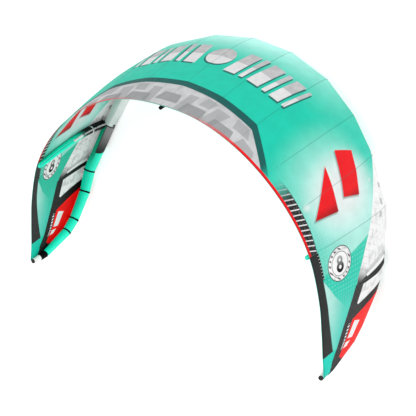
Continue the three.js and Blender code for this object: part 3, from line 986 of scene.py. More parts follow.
    def draw_front_panel(self) -> None:
        """White panel behind the tube with fine slanted lines, grey clouds and a dark corner."""
        panel = self.shape(((3.84, -0.02), (5.03, 0.346), (5.90, 0.550), (6.4, 0.60), (6.4, -0.02)))
        lines = self.either(
            self.stripes((1.0, 0.36), pitch=0.052, share=0.10),
            self.shape(((3.9, 0.090), (5.1, 0.135), (5.1, 0.141), (3.9, 0.096))),
        )
        strength = self.ramp(self.part, 0.05, 0.40, 0.12, 0.34)
        white = self.mix(self.both(lines, strength), INKS.white, INKS.grey)
        clouds = self.both(self.clouds(14.0, 3.0, 0.48, 0.66), self.ramp(self.rib, 4.6, 5.3, 0.08, 0.40))
        white = self.mix(clouds, white, INKS.grey)
        for corners in self.SQUARES:
            marks = self.both(self.shape(corners), self.stripes((0.0, 1.0), pitch=0.018, share=0.75))
            white = self.mix(marks, white, INKS.panel_dark, share=0.75)
        edging = self.shape(((5.66, 0.05), (5.74, 0.02), (5.92, 0.43), (5.82, 0.43)), soft=0.03)
        white = self.mix(edging, white, INKS.grey, share=0.6)
        self.lay(panel, white)
        self.lay(self.both(self.glow((6.10, 0.56), (0.46, 0.27), core=0.15), panel), INKS.charcoal)

    def draw_red_marks(self) -> None:
        """Red block and red triangle on the pale glow, with a soft shadow."""
        red = self.mix(self.ramp(self.rib, 4.22, 4.5), INKS.red, INKS.wine, share=0.7)
        for corners in (self.RED_BLOCK, self.RED_TRIANGLE):
            self.lay(self.shape(corners, soft=0.02, shift=(0.02, 0.014)), INKS.charcoal, share=0.6)
            self.lay(self.shape(corners), red)

    def draw_tip_stripes(self) -> None:
        """Dark diagonal band, white bars, red tip field with two small white bars and a row of ticks."""
        specks = self.both(self.dots(self.BAND_DOTS_M), self.ramp(self.part, 0.25, 0.50))
        band = self.either(
            self.shape(((5.72, -0.02), (9.95, -0.02), (9.3, 0.60), (8.0, 0.735), (6.0, 0.575))),
            self.shape(((8.0, 0.40), (10.05, -0.02), (10.05, 0.50), (9.7, 0.70), (9.0, 0.80), (8.0, 0.735))),
        )
        self.lay(band, self.mix(specks, INKS.charcoal, INKS.grey, share=0.30))
        self.lay(self.shape(((5.76, 0.03), (5.83, 0.0), (5.95, 0.41), (5.90, 0.425))), INKS.white)
        bar = self.shape(((5.93, -0.02), (6.42, -0.02), (6.80, 0.49), (6.73, 0.512), (6.07, 0.462)))
        self.lay(bar, self.mix(self.clouds(9.0, 2.0, 0.5, 0.60, share=0.35), INKS.white, INKS.grey))
        red = self.shape(((6.80, -0.02), (9.60, -0.02), (9.42, 0.38), (9.05, 0.60), (7.27, 0.530)))
        self.lay(red, INKS.tip_red)
        for corners in self.TIP_BARS:
            self.lay(self.shape(corners), INKS.white)
        ticks = self.both(
            self.shape(((7.35, 0.555), (8.45, 0.590), (8.45, 0.625), (7.35, 0.590))),
            self.stripes((1.0, 0.0), pitch=0.050, share=0.55),
        )
        self.lay(ticks, INKS.white)

    def draw_badge(self) -> None:
        """Round size badge: white ring with plain ticks, thin dark outlines and the number 8."""
        rim, outside, inside, line = 0.153, 0.146, 0.106, 0.099
        self.lay(self.disc(self.BADGE, rim), INKS.black)
        self.lay(self.disc(self.BADGE, outside), INKS.white)
        mottle = self.clouds(22.0, 3.0, 0.48, 0.62, share=0.45)
        self.lay(self.both(self.ring(self.BADGE, outside, inside), mottle), INKS.grey)
        ticks = self.both(
            self.ring(self.BADGE, 0.140, 0.116),
            self.stripes((1.0, 0.8), pitch=0.042, share=0.35),
        )
        self.lay(ticks, INKS.black, share=0.85)
        self.lay(self.ring(self.BADGE, inside, line), INKS.charcoal, share=0.75)
        rib, part = self.BADGE
        figure = self.either(
            self.ring((rib - 0.070, part), 0.037, 0.013),
            self.ring((rib + 0.060, part), 0.047, 0.017),
        )
        self.lay(figure, self.mix(self.ramp(self.rib, rib - 0.15, rib + 0.10), INKS.grey, INKS.black))

    def draw_ladder(self) -> None:
        """Dark band with white rungs along the trailing edge, a dotted line beyond it and a red rim."""
        band = self.shape(self.LADDER_FIELD, soft=0.006)
        dark = self.mix(self.clouds(60.0, 1.0, 0.52, 0.60), INKS.charcoal, INKS.panel_dark, share=0.25)
        self.lay(self.both(band, self.ramp(self.rib, 3.15, 3.75)), dark)
        rungs = self.both(
            self.shape(self.RUNG_FIELD),
            self.stripes((1.0, 0.47), pitch=0.0500, share=0.20, through=(4.746, 0.998)),
        )
        self.lay(self.both(rungs, self.ramp(self.rib, 3.2, 3.9)), INKS.white, share=0.95)
        dotted = self.shape(((5.0, 0.930), (5.56, 0.922), (5.56, 0.952), (5.0, 0.956)), soft=0.006)
        self.lay(dotted, INKS.charcoal)
        self.lay(self.both(dotted, self.stripes((1.0, 0.0), pitch=0.03, share=0.2)), INKS.white, share=0.6)
        rim = self.both(self.ramp(self.part, 0.987, 0.989), self.fall(self.rib, 4.99, 5.01))
        self.lay(self.both(rim, self.ramp(self.rib, 0.6, 2.4)), INKS.red)

    def draw_seams(self) -> None:
        """Thin dark seams between the panels, and a hem at the tube."""
        seam = self.fall(self.math("PINGPONG", self.rib, 0.5), 0.004, 0.012)
        shown = self.both(self.fall(self.rib, 5.1, 5.12), self.ramp(self.part, 0.84, 0.88, 0.34, 0.14))
        self.lay(self.both(seam, shown), INKS.band)
        self.lay(self.fall(self.part, 0.0, 0.006, share=0.30), INKS.band)


@lru_cache(maxsize=None)
def print_group() -> Tree:
    """Group that gives the print's colour at a rib position and a place along the rib.

    Returns:
        A group with the inputs Rib and Part and the output Colour.
    """
    tree = new_group(
        "canopy print",
        [("Rib", "NodeSocketFloat"), ("Part", "NodeSocketFloat")],
        [("Colour", "NodeSocketColor")],
    )
    source = group_end(tree, "NodeGroupInput").outputs
    canvas = CanopyPrint(tree, source["Rib"], source["Part"], INKS.teal)
    canvas.draw()
    canvas.fill(group_end(tree, "NodeGroupOutput"), Colour=canvas.colour)
    return tree


# Finishes


def new_material(name: str) -> Tuple[Material, Graph, Node]:
    """Makes a material and gives its graph and its surface shader."""
    material = bpy.data.materials.new(name)
    material.use_nodes = True
    return material, Graph(material.node_tree), material.node_tree.nodes["Principled BSDF"]


@dataclass(frozen=True)
class Cloth:
    """A woven cloth finish that is the same all over but for its weave."""

    name: str
    colour: Colour
    roughness: float = 0.55
    thread: float = 0.004
    bump: float = 0.25
    specular: float = 0.12
    bump_depth: float = 0.002
    wear_scale: float = 30.0

    def build(self) -> Material:
        """Makes the material: the colour with weave, roughness and bump.

        Returns:
            The material.
        """
        material, graph, shader = new_material(self.name)
        place = graph.node("ShaderNodeTexCoord").outputs["Object"]
        metres = self.metres(graph, place)
        weave = use_group(graph, weave_group(), Metres=metres, Object=place, Thread=self.thread).outputs
        shaded = graph.node("ShaderNodeVectorMath", operation="SCALE")
        graph.feed(shaded.inputs[0], self.paint(graph))
        graph.feed(shaded.inputs["Scale"], weave["Shade"])
        wear = graph.noise(place, self.wear_scale, 3.0)
        graph.fill(
            shader,
            Base_Color=shaded.outputs[0],
            Roughness=graph.ramp(wear, 0.25, 0.75, self.roughness - 0.05, self.roughness + 0.07),
            Normal=graph.bump(weave["Height"], self.bump_depth, self.bump),
            Specular_IOR_Level=self.specular,
        )
        return material

    def paint(self, graph: Graph) -> Paint:
        """Colour before the weave is laid over it."""
        return self.colour

    def metres(self, graph: Graph, place: Socket) -> Socket:
        """Coordinates in metres that the threads follow."""
        return place


@dataclass(frozen=True)
class CanopyCloth(Cloth):
    """Ripstop cloth with the canopy's print, on rib position and place along the rib."""

    # strength of the painted shade on the side that faces the struts
    under_shade_gamma: float = 1.35
    arch_middle: Corner3 = (0.0, -0.9, 0.6)
    flat_width: float = 9.0
    flat_length: float = 1.4

    def paint(self, graph: Graph) -> Paint:
        """The print's colour, with painted shade on the side that faces the struts, which is darker and
        richer there.
        """
        u, v = graph.cloth_map()
        rib = graph.math("MULTIPLY_ADD", u, 2 * TIP_RIB, -TIP_RIB)
        printed = use_group(graph, print_group(), Rib=rib, Part=v).outputs["Colour"]
        # painted shade: the side that faces the struts is darkened
        shaded_print = graph.fill(graph.node("ShaderNodeGamma"), Color=printed, Gamma=self.under_shade_gamma)
        return graph.mix(self.under_side(graph), printed, shaded_print.outputs[0])

    def under_side(self, graph: Graph) -> Value:
        """Mask of the cloth's side that faces the struts."""
        place = graph.node("ShaderNodeTexCoord").outputs["Object"]
        outward = graph.vector_math("SUBTRACT", place, self.arch_middle).outputs[0]
        facing = graph.dot(graph.node("ShaderNodeNewGeometry").outputs["Normal"], outward)
        return graph.fall(facing, -0.03, 0.03)

    def metres(self, graph: Graph, place: Socket) -> Socket:
        """The cloth's own width and length."""
        u, v = graph.cloth_map()
        width = graph.math("MULTIPLY", u, self.flat_width)
        return graph.vector(width, graph.math("MULTIPLY", v, self.flat_length))


@dataclass(frozen=True)
class TubeCloth(Cloth):
    """Cloth of the leading edge tube: the print outside, pale inside, teal beyond the wing struts, with
    painted highlights and painted shade.
    """

    pale: Colour = (0.52, 0.63, 0.59)
    white: Colour = (0.80, 0.84, 0.83)
    line: Colour = (0.10, 0.22, 0.19)
    # painted shade colour
    shaded_teal: Colour = (0.002, 0.30, 0.17)
    # painted highlight colour
    highlight_mint: Colour = (0.045, 0.90, 0.63)
    bright: Colour = (0.004, 0.80, 0.52)
    print_end_deg: float = 112.0
    front_end_deg: float = 262.0
    print_start_deg: float = 322.0
    print_part: float = 0.008

    def paint(self, graph: Graph) -> Paint:
        """Colour by the angle round the tube and by rib position.

        Args:
            graph: Graph of the material.

        Returns:
            The colour.
        """
        u, v = graph.cloth_map()
        rib = graph.math("ABSOLUTE", graph.math("MULTIPLY_ADD", v, 2 * TIP_RIB, -TIP_RIB))
        angle = graph.math("MULTIPLY", u, 360.0)
        beyond = graph.ramp(rib, STRUT_RIB - 0.005, STRUT_RIB + 0.005)
        inside = graph.mix(beyond, self.middle(graph, rib, angle), self.wing(graph, rib, angle))
        for place, share in ((self.front_end_deg, 0.30), (self.print_start_deg, 0.45)):
            inside = graph.mix(graph.near(angle, place, 1.0, 2.6, share), inside, self.line)
        # painted highlight: a thin white line beside the front seam, only between the wing struts
        highlight_line = graph.near(angle, self.front_end_deg + 7.0, 1.0, 4.0, 0.22)
        inside = graph.mix(graph.without(highlight_line, beyond), inside, self.white)
        outside = use_group(graph, print_group(), Rib=rib, Part=self.print_part).outputs["Colour"]
        printed = graph.either(
            graph.fall(angle, self.print_end_deg - 0.5, self.print_end_deg + 0.5),
            graph.ramp(angle, self.print_start_deg - 0.5, self.print_start_deg + 0.5),
        )
        return graph.mix(printed, inside, outside)

    def middle(self, graph: Graph, rib: Value, angle: Value) -> Paint:
        """Pale and white inner side between the wing struts, with painted shade beside them."""
        front = graph.fall(angle, self.front_end_deg - 0.5, self.front_end_deg + 0.5)
        # painted shade: darker near the wing strut seams
        shade = graph.both(graph.ramp(rib, 4.3, 4.98), graph.ramp(angle, 150.0, 255.0, 1.0, 0.2))
        return graph.mix(shade, graph.mix(front, self.pale, self.white), self.line, share=0.75)

    def wing(self, graph: Graph, rib: Value, angle: Value) -> Paint:
        """Teal inner side beyond the wing struts, lighter to the tip, with a painted highlight to the front
        and painted shade at the root.
        """
        teal = graph.mix(graph.ramp(rib, 6.3, 9.6), self.colour, self.bright)
        # painted highlight: the front of the tube is lighter
        teal = graph.mix(graph.fall(angle, 195.0, 275.0), teal, self.highlight_mint)
        # painted shade: darker at the rear of the tube just beyond the strut seam
        root = graph.both(graph.fall(rib, 5.6, 5.95), graph.ramp(angle, 261.0, 264.0))
        return graph.mix(root, teal, self.shaded_teal)


@dataclass(frozen=True)
class SleeveCloth(Cloth):
    """Cloth of a strut: black at the front that fades to teal, with dark lines along its flanks, painted
    highlight lines beside them and painted shade on one side.
    """

    front: Colour = (0.003, 0.004, 0.004)
    shaded_teal: Colour = (0.001, 0.72, 0.48)
    # painted highlight colour
    painted_highlight: Colour = (0.75, 0.95, 0.90)
    fade_start: float = 0.52
    fade_end: float = 0.74
    rear_start: float = 9.0

    def paint(self, graph: Graph) -> Paint:
        """Colour by the turn round the strut and by the distance along it in metres.

        Args:
            graph: Graph of the material.

        Returns:
            The colour.
        """
        turn, distance = graph.cloth_map()
        # painted shade: one side of the strut is darker
        teal = graph.mix(graph.ramp(turn, 0.58, 0.66), self.colour, self.shaded_teal)
        # dark lines along the flanks, with painted highlight lines beside them
        for place, half, ink, share in (
            (0.33, 0.010, self.front, 0.8),
            (0.30, 0.012, self.painted_highlight, 0.4),
            (0.52, 0.014, self.painted_highlight, 0.15),
            (0.70, 0.010, self.front, 0.8),
        ):
            teal = graph.mix(graph.near(turn, place, half * 0.3, half, share), teal, ink)
        # the black front is the sleeve's own cloth; its soft fade into the teal, which reaches further round
        # one side, is partly painted shade
        start = graph.math("MULTIPLY_ADD", turn, 0.12, distance)
        rear = graph.ramp(distance, self.rear_start, self.rear_start + 0.01)
        dark = graph.either(graph.fall(start, self.fade_start, self.fade_end), rear)
        return graph.mix(dark, teal, self.front)


@dataclass(frozen=True)
class ScuffCloth(Cloth):
    """Cloth of a scuff patch: grey near the strut seam, darker towards its end, dark at its edges."""

    dark: Colour = (0.020, 0.022, 0.021)

    def paint(self, graph: Graph) -> Paint:
        """Grey to dark along the patch, with a dark rim."""
        u, v = graph.cloth_map()
        colour = graph.mix(graph.ramp(v, 0.1, 1.0), self.colour, self.dark)
        rim = graph.either(graph.ramp(u, 0.955, 0.975), graph.ramp(v, 0.955, 0.975))
        return graph.mix(rim, colour, self.dark, share=0.8)


@dataclass(frozen=True)
class BindingCloth(Cloth):
    """Edge tape: grey in the middle, red along the wing, dark with a teal rim at the tip."""

    middle: Colour = (0.30, 0.36, 0.35)
    pink: Colour = (0.66, 0.16, 0.18)
    dark: Colour = (0.022, 0.023, 0.023)
    teal: Colour = (0.02, 0.50, 0.40)

    def paint(self, graph: Graph) -> Paint:
        """Colour by rib position and place across the tape.

        Args:
            graph: Graph of the material.

        Returns:
            The colour.
        """
        u, v = graph.cloth_map()
        rib = graph.math("MULTIPLY", u, TIP_RIB)
        colour: Paint = self.middle
        for mask, ink in (
            (graph.ramp(rib, 0.2, 1.4), self.pink),
            (graph.ramp(rib, 1.2, 2.2), self.colour),
            (graph.ramp(rib, STRUT_RIB - 0.02, STRUT_RIB + 0.02), self.dark),
            (graph.ramp(v, 0.78, 0.84), self.teal),
            (graph.ramp(rib, STRIP_END_RIB - 0.02, STRIP_END_RIB + 0.02), self.teal),
        ):
            colour = graph.mix(mask, colour, ink)
        return colour


@dataclass(frozen=True)
class Moulded:
    """A moulded plastic finish with fine grain and slight wear."""

    name: str
    colour: Colour
    roughness: float = 0.3
    coat: float = 0.2
    wear_share: float = 0.85
    wear_scale: float = 60.0
    grain_scale: float = 1400.0

    def build(self) -> Material:
        """Makes the material.

        Returns:
            The material.
        """
        material, graph, shader = new_material(self.name)
        place = graph.node("ShaderNodeTexCoord").outputs["Object"]
        wear = graph.noise(place, self.wear_scale, 3.0)
        darker = tuple(channel * self.wear_share for channel in self.colour)
        graph.fill(
            shader,
            Base_Color=graph.mix(graph.ramp(wear, 0.4, 0.8), self.colour, darker),
            Roughness=graph.ramp(wear, 0.2, 0.8, self.roughness, self.roughness + 0.12),
            Normal=graph.bump(graph.noise(place, self.grain_scale, 1.0), 0.0003, 0.2),
            Coat_Weight=self.coat,
        )
        return material


@dataclass
class Finishes:
    """All materials of the kite."""

    canopy: Material
    tube: Material
    strut: Material
    middle_strut: Material
    teal: Material
    black: Material
    charcoal: Material
    scuff: Material
    white: Material
    tape: Material
    pale_tape: Material
    binding: Material
    hose: Material
    connector: Material
    plug: Material

    @classmethod
    def make(cls) -> "Finishes":
        """Builds every material once.

        Returns:
            The set of materials.
        """
        teal: Colour = (0.006, 0.66, 0.45)
        coated = (0.36, 0.003, 0.3)
        return cls(
            canopy=CanopyCloth("printed ripstop", INKS.teal, 0.55, 0.006, 0.18).build(),
            tube=TubeCloth("tube cloth", (0.002, 0.60, 0.38), *coated, specular=0.08).build(),
            strut=SleeveCloth("strut cloth", (0.002, 0.94, 0.64), *coated, specular=0.1).build(),
            middle_strut=SleeveCloth("middle strut cloth", teal, *coated, rear_start=1.53).build(),
            teal=Cloth("teal cloth", teal, 0.4, 0.003, 0.3, specular=0.4).build(),
            black=Cloth("black cloth", (0.003, 0.0032, 0.0034), 0.5, specular=0.04).build(),
            charcoal=Cloth("charcoal cloth", (0.024, 0.026, 0.026), 0.6).build(),
            scuff=ScuffCloth("scuff cloth", (0.25, 0.24, 0.24)).build(),
            white=Cloth("white cloth", (0.82, 0.84, 0.83), 0.5).build(),
            tape=Cloth("dark seam tape", (0.002, 0.003, 0.003), 0.5, 0.002, specular=0.04).build(),
            pale_tape=Cloth("pale seam tape", (0.36, 0.44, 0.42), 0.5, 0.002).build(),
            binding=BindingCloth("edge tape", (0.62, 0.010, 0.016), 0.6, 0.002).build(),
            hose=Moulded("hose plastic", (0.50, 0.47, 0.48)).build(),
            connector=Moulded("white plastic", (0.97, 0.97, 0.96)).build(),
            plug=Moulded("black plastic", (0.003, 0.003, 0.0035), 0.45, 0.0).build(),
        )


# Sub-assemblies


@dataclass
class Canopy:
    """The printed cloth from tip to tip, with its dark tip strips and edge tapes."""

    attitude: Attitude
    finishes: Finishes
    cells_per_panel: int = 14
    cells_along: int = 60
    strip_share: float = 0.9
    thickness: float = 0.0012
    strip_thickness: float = 0.0016
    flutter: float = 0.8
    flutter_turns: float = 11.0
    seam_dip: float = 1.2
    seam_reach: float = 14.0
    strut_dip_share: float = 0.3
    pucker_height: float = 2.2
    pucker_part: float = 0.07
    pucker_wave: float = 24.0
    pucker_reach: float = 120.0
    pull_height: float = 0.8
    pull_reach: float = 160.0
    pull_turns: float = 34.0
    pull_wave: float = 60.0
    rib_pitch: float = 450.0
    binding_width: float = 14.0
    binding_thickness: float = 3.0
    binding_gap: float = 0.3
    binding_power: float = 0.6
    binding_rise_power: float = 0.7

    def crease(self, rib: float, part: float) -> float:
        """Height in mm that tension creases add to the smooth cloth.

        Args:
            rib: Signed rib position.
            part: Place along the rib.

        Returns:
            The height, minus where the cloth dips.
        """
        place = abs(rib)
        to_seam = abs(place - round(place)) * segment_length(min(place, TIP_RIB - 0.01))
        dip = -self.seam_dip * math.exp(-((to_seam / self.seam_reach) ** 2)) * smooth_step(0.0, 0.05, part)
        if place > STRUT_RIB + 0.5:
            dip = 0.0
        elif round(place) in (0, STRUT_RIB):
            dip *= self.strut_dip_share
        front = math.exp(-part / self.pucker_part) * smooth_step(0.0, 0.015, part)
        pucker = math.cos(to_seam / self.pucker_wave) * math.exp(-to_seam / self.pucker_reach)
        from_strut = abs(place - STRUT_RIB) * self.rib_pitch
        wave = 1.0 + math.sin(part * self.pull_turns + from_strut / self.pull_wave)
        pull = math.exp(-from_strut / self.pull_reach) * wave
        rear = smooth_step(1.0, 0.9, part) * smooth_step(0.0, 0.1, part)
        return dip + self.pucker_height * front * pucker + self.pull_height * pull * rear

    def part_at(self, rib: float, share: float) -> float:
        """Place along the rib for a share of the grid, which follows the dark strip's edge."""
        edge = strip_edge(rib)
        if share <= self.strip_share:
            return edge * share / self.strip_share
        return between(edge, 1.0, (share - self.strip_share) / (1.0 - self.strip_share))

    def place(self, across: float, along: float) -> Placed:
        """Point and map coordinates of the canopy's grid."""
        rib = between(-TIP_RIB, TIP_RIB, across)
        part = self.part_at(rib, along)
        spot = canopy_spot(rib, part)
        point = spot.point + spot.normal * self.crease(rib, part)
        return self.attitude.point(point), ((rib + TIP_RIB) / (2 * TIP_RIB), part)

    def build(self) -> None:
        """Makes the cloth, the tip strips and the edge tapes."""
        across = int(2 * TIP_RIB) * self.cells_per_panel
        cloth = place_grid("canopy_cloth", across, self.cells_along, self.place)
        self.cut_strips(cloth)
        add_thickness(cloth, self.thickness)
        nodes = both_sides("canopy", 1, 5) + tuple(f"canopy_tip_{side.word}" for side in Side)
        dress(cloth, self.finishes.canopy, "canopy_cloth", *nodes)
        for side in Side:
            strip = self.build_strip(side)
            self.build_binding(side)

    def cut_strips(self, cloth: Piece) -> None:
        """Takes the cloth away where the dark tip strips are.

        Args:
            cloth: The canopy cloth, before it gets its thickness.
        """
        bm = bmesh.new()
        bm.from_mesh(cloth.data)
        layer = bm.loops.layers.uv["cloth"]
        gone = []
        for face in bm.faces:
            u = sum(loop[layer].uv.x for loop in face.loops) / len(face.loops)
            v = sum(loop[layer].uv.y for loop in face.loops) / len(face.loops)
            rib = abs(u * 2 * TIP_RIB - TIP_RIB)
            if STRUT_RIB < rib < STRIP_END_RIB and v > strip_edge(rib):
                gone.append(face)
        bmesh.ops.delete(bm, geom=gone, context="FACES")
        bm.to_mesh(cloth.data)
        bm.free()

    def build_strip(self, side: Side) -> Piece:
        """Makes the dark strip in front of the trailing edge of one wing tip.

        Args:
            side: Half wing that it belongs to.

        Returns:
            The strip.
        """

        def place(across: float, along: float) -> Placed:
            """Point and map coordinates of the grid."""
            rib = between(STRUT_RIB, STRIP_END_RIB, across)
            spot = canopy_spot(rib * side.value, between(strip_edge(rib), 1.0, along))
            lift = self.flutter * math.sin(rib * self.flutter_turns) * along
            return self.attitude.point(spot.point + spot.normal * lift), (across, along)

        strip = place_grid(f"tip_strip_{side.word}", 60, 6, place)
        add_thickness(strip, self.strip_thickness)
        return dress(strip, self.finishes.charcoal, "charcoal_cloth", f"tip_dacron_{side.word}")

    def build_binding(self, side: Side) -> Piece:
        """Makes the folded tape behind the trailing edge of one half wing.

        Args:
            side: Half wing that it belongs to.

        Returns:
            The tape.
        """

        def rounded(value: float, power: float) -> float:
            """Makes a wave fuller, so that the tape's section is less pointed."""
            return math.copysign(abs(value) ** power, value)

        def place(across: float, along: float) -> Placed:
            """Point and map coordinates of the grid."""
            spot = canopy_spot(across * TIP_RIB * side.value, 1.0)
            angle = 2 * math.pi * along
            reach = self.binding_width / 2 * (1.0 + rounded(math.cos(angle), self.binding_power))
            height = self.binding_thickness / 2 * rounded(math.sin(angle), self.binding_rise_power)
            point = spot.point + spot.along * (self.binding_gap + reach) + spot.normal * height
            return self.attitude.point(point), (across, reach / self.binding_width)

        tape = place_grid(f"edge_tape_{side.word}", 200, 16, place, closed=True)
        return dress(tape, self.finishes.binding, "binding_tape", f"te_binding_{side.word}")


# Each corner: radius in metres, share of the piece's length, and metres added along it.
TIP_PROFILES = {
    "cuff": (
        (0.0, 0, 0.0),
        (0.0395, 0, 0.0),
        (0.0402, 0, 0.004),
        (0.0392, 0, 0.010),
        (0.0385, 0.5, 0.0),
        (0.0370, 1, -0.010),
        (0.0378, 1, -0.004),
        (0.0365, 1, 0.0),
        (0.0, 1, 0.0),
    ),
    "cone": (
        (0.0, 0, 0.0),
        (0.0335, 0, 0.0),
        (0.0350, 0, 0.003),
        (0.0335, 0, 0.010),
        (0.0285, 0.5, 0.0),
        (0.0255, 1, -0.012),
        (0.0262, 1, -0.004),
        (0.0250, 1, -0.0005),
        (0.0, 1, -0.0005),
    ),
    "plug": (
        (0.0, 0, 0.0),
        (0.0245, 0, 0.0),
        (0.0250, 0, 0.002),
        (0.0250, 1, -0.003),
        (0.0235, 1, 0.0),
        (0.0190, 1, 0.0),
        (0.0180, 1, -0.003),
        (0.0, 1, -0.003),
    ),
}
CAP_PROFILE = ((0.0, -0.001), (0.015, -0.001), (0.015, 0.004), (0.013, 0.006), (0.006, 0.007), (0.0, 0.007))
STUB_PROFILE = ((0.0, 0.0), (0.010, 0.0), (0.010, 0.016), (0.0115, 0.017), (0.0115, 0.021), (0.0, 0.022))


@dataclass
class LeadingEdge:
    """The inflated tube with its seam tapes, scuff patches and tip fittings."""

    attitude: Attitude
    finishes: Finishes
    sides: int = 64
    cells_per_segment: int = 14
    pinch: float = 2.0
    pinch_reach: float = 14.0
    pucker: float = 0.9
    pucker_limit: float = 0.5
    pucker_count: float = 22.0
    pucker_shift: float = 3.0
    pucker_reach: float = 30.0
    tape_width: float = 20.0
    pale_tape_width: float = 10.0
    tape_lift: float = 0.9
    tape_pinch_share: float = 0.6
    tape_thickness: float = 0.0008
    patch_from_deg: float = -30.0
    patch_to_deg: float = 172.0
    patch_length: float = 350.0
    patch_shortest: float = 0.62
    patch_thickness: float = 1.5
    patch_clearance: float = 0.7
    patch_inset: float = 1.0
    cap_rib: float = 4.93
    cap_angle_deg: float = 205.0

    @staticmethod
    def grounded(point: Vector, lowest: float = 0.0) -> Vector:
        """Lifts a standing point that is lower than the lowest height to that height."""
        return Vector((point.x, point.y, max(point.z, lowest)))

    def tube_place(self, across: float, along: float) -> Placed:
        """Point and map coordinates of the tube's grid.

        Args:
            across: Part of a turn round the tube.
            along: Part of the way from the left tip to the right one.

        Returns:
            The point and its map coordinates.
        """
        rib = between(-TIP_RIB, TIP_RIB, along)
        angle = 2 * math.pi * across
        to_seam = abs(rib - round(rib)) * segment_length(rib)
        pinch = -self.pinch * math.exp(-to_seam / self.pinch_reach)
        wave = math.cos(angle * self.pucker_count + rib * self.pucker_shift)
        pucker = self.pucker * wave * math.exp(-to_seam / self.pucker_reach)
        spot = tube_spot(rib, angle)
        point = spot.point + spot.normal * (pinch + min(pucker, self.pucker_limit))
        return self.grounded(self.attitude.point(point)), (across, along)

    def build(self) -> None:
        """Makes the tube, its tapes and its tips."""
        along = int(2 * TIP_RIB) * self.cells_per_segment
        tube = place_grid("leading_edge_tube", self.sides, along, self.tube_place, closed=True)
        dress(tube, self.finishes.tube, "tube_cloth", *both_sides("le_tube", 1, 10))
        for side in Side:
            for seam in range(1, int(TIP_RIB)):
                self.build_tape(side, seam)
            self.build_tip(side)
            self.build_cap(side)
            self.build_patch(side)
        self.build_tape(Side.RIGHT, 0)

    def build_patch(self, side: Side) -> None:
        """Makes the scuff patch on the tube beyond one strut seam.

        Args:
            side: Half wing that it belongs to.
        """
        seam = int(STRUT_RIB)
        low, high = LEADING_SEAMS[seam], LEADING_SEAMS[seam + 1]
        tangent = segment_tangent(seam)
        length = (high.point - low.point).length
        curve = rib_curve(STRUT_RIB)
        forward = -curve.back
        forward = (forward - tangent * forward.dot(tangent)).normalized()
        inward = -curve.outward
        inward = inward - tangent * inward.dot(tangent)
        inward = (inward - forward * inward.dot(forward)).normalized()
        plane = (segment_tangent(seam - 1) + tangent).normalized()
        lift = self.patch_clearance + self.patch_thickness / 2

        def place(across: float, along: float) -> Placed:
            """Point and map coordinates of the grid."""
            angle = math.radians(between(self.patch_from_deg, self.patch_to_deg, across))
            spoke = forward * math.cos(angle) + inward * math.sin(angle)
            reach = self.patch_length * between(self.patch_shortest, 1.0, math.sin(math.pi / 2 * across))
            root = low.point + spoke * (low.r + lift)
            begin = (low.point - root).dot(plane) / tangent.dot(plane) + self.patch_inset
            distance = between(begin, reach, along)
            radius = between(low.r, high.r, distance / length) + lift
            point = low.point + tangent * distance + spoke * radius
            placed = self.attitude.point(mirrored(point, side.value))
            return self.grounded(placed, self.patch_thickness / 2 * MM), (across, along)

        patch = place_grid(f"scuff_cloth_{side.word}", 48, 24, place)
        add_thickness(patch, self.patch_thickness * MM)
        dress(patch, self.finishes.scuff, "charcoal_cloth", f"scuff_patch_{side.word}")

    def build_tape(self, side: Side, seam: int) -> None:
        """Makes the tape round the tube over one seam.

        Args:
            side: Half wing that it belongs to.
            seam: Number of the seam, 0 in the middle.
        """
        black = seam >= STRUT_RIB
        half = (self.tape_width if black else self.pale_tape_width) / 2

        def place(across: float, along: float) -> Placed:
            """Point and map coordinates of the grid."""
            offset = between(-half, half, along)
            length = segment_length(seam if offset > 0 or seam == 0 else seam - 0.5)
            rib = seam + offset / length
            if seam > 0:
                rib *= side.value
            lift = self.tape_lift - self.pinch * self.tape_pinch_share
            spot = tube_spot(rib, 2 * math.pi * across, lift)
            return self.grounded(self.attitude.point(spot.point), self.tape_thickness / 2), (across, along)

        tape = place_grid(f"seam_tape_{seam}_{side.word}", self.sides, 4, place, closed=True, filled=False)
        add_thickness(tape, self.tape_thickness)
        material = self.finishes.tape if black else self.finishes.pale_tape
        dress(tape, material, "black_cloth" if black else "white_cloth")

    def build_tip(self, side: Side) -> None:
        """Makes the cuff, the cone and the end plug of one tube tip.

        Args:
            side: Half wing that it belongs to.
        """
        looks = (
            (self.finishes.black, "black_cloth"),
            (self.finishes.white, "white_cloth"),
            (self.finishes.plug, "plug_plastic"),
        )
        ends = [self.attitude.point(mirrored(seam.point, side.value)) for seam in LEADING_SEAMS[-4:]]
        for (word, corners), (material, slot), start, end in zip(TIP_PROFILES.items(), looks, ends, ends[1:]):
            length = (end - start).length
            profile = [(radius, share * length + more) for radius, share, more in corners]
            piece = spun_piece(f"tip_{word}_piece_{side.word}", profile, start, (end - start).normalized())
            dress(piece, material, slot, f"tip_{word}_{side.word}")

    def build_cap(self, side: Side) -> None:
        """Makes the small round valve cap beside the root of a wing strut."""
        spot = tube_spot(self.cap_rib * side.value, math.radians(self.cap_angle_deg))
        origin, direction = self.attitude.point(spot.point), self.attitude.direction(spot.normal)
        cap = spun_piece(f"valve_cap_{side.word}", CAP_PROFILE, origin, direction, steps=24)
        dress(cap, self.finishes.plug, "plug_plastic")


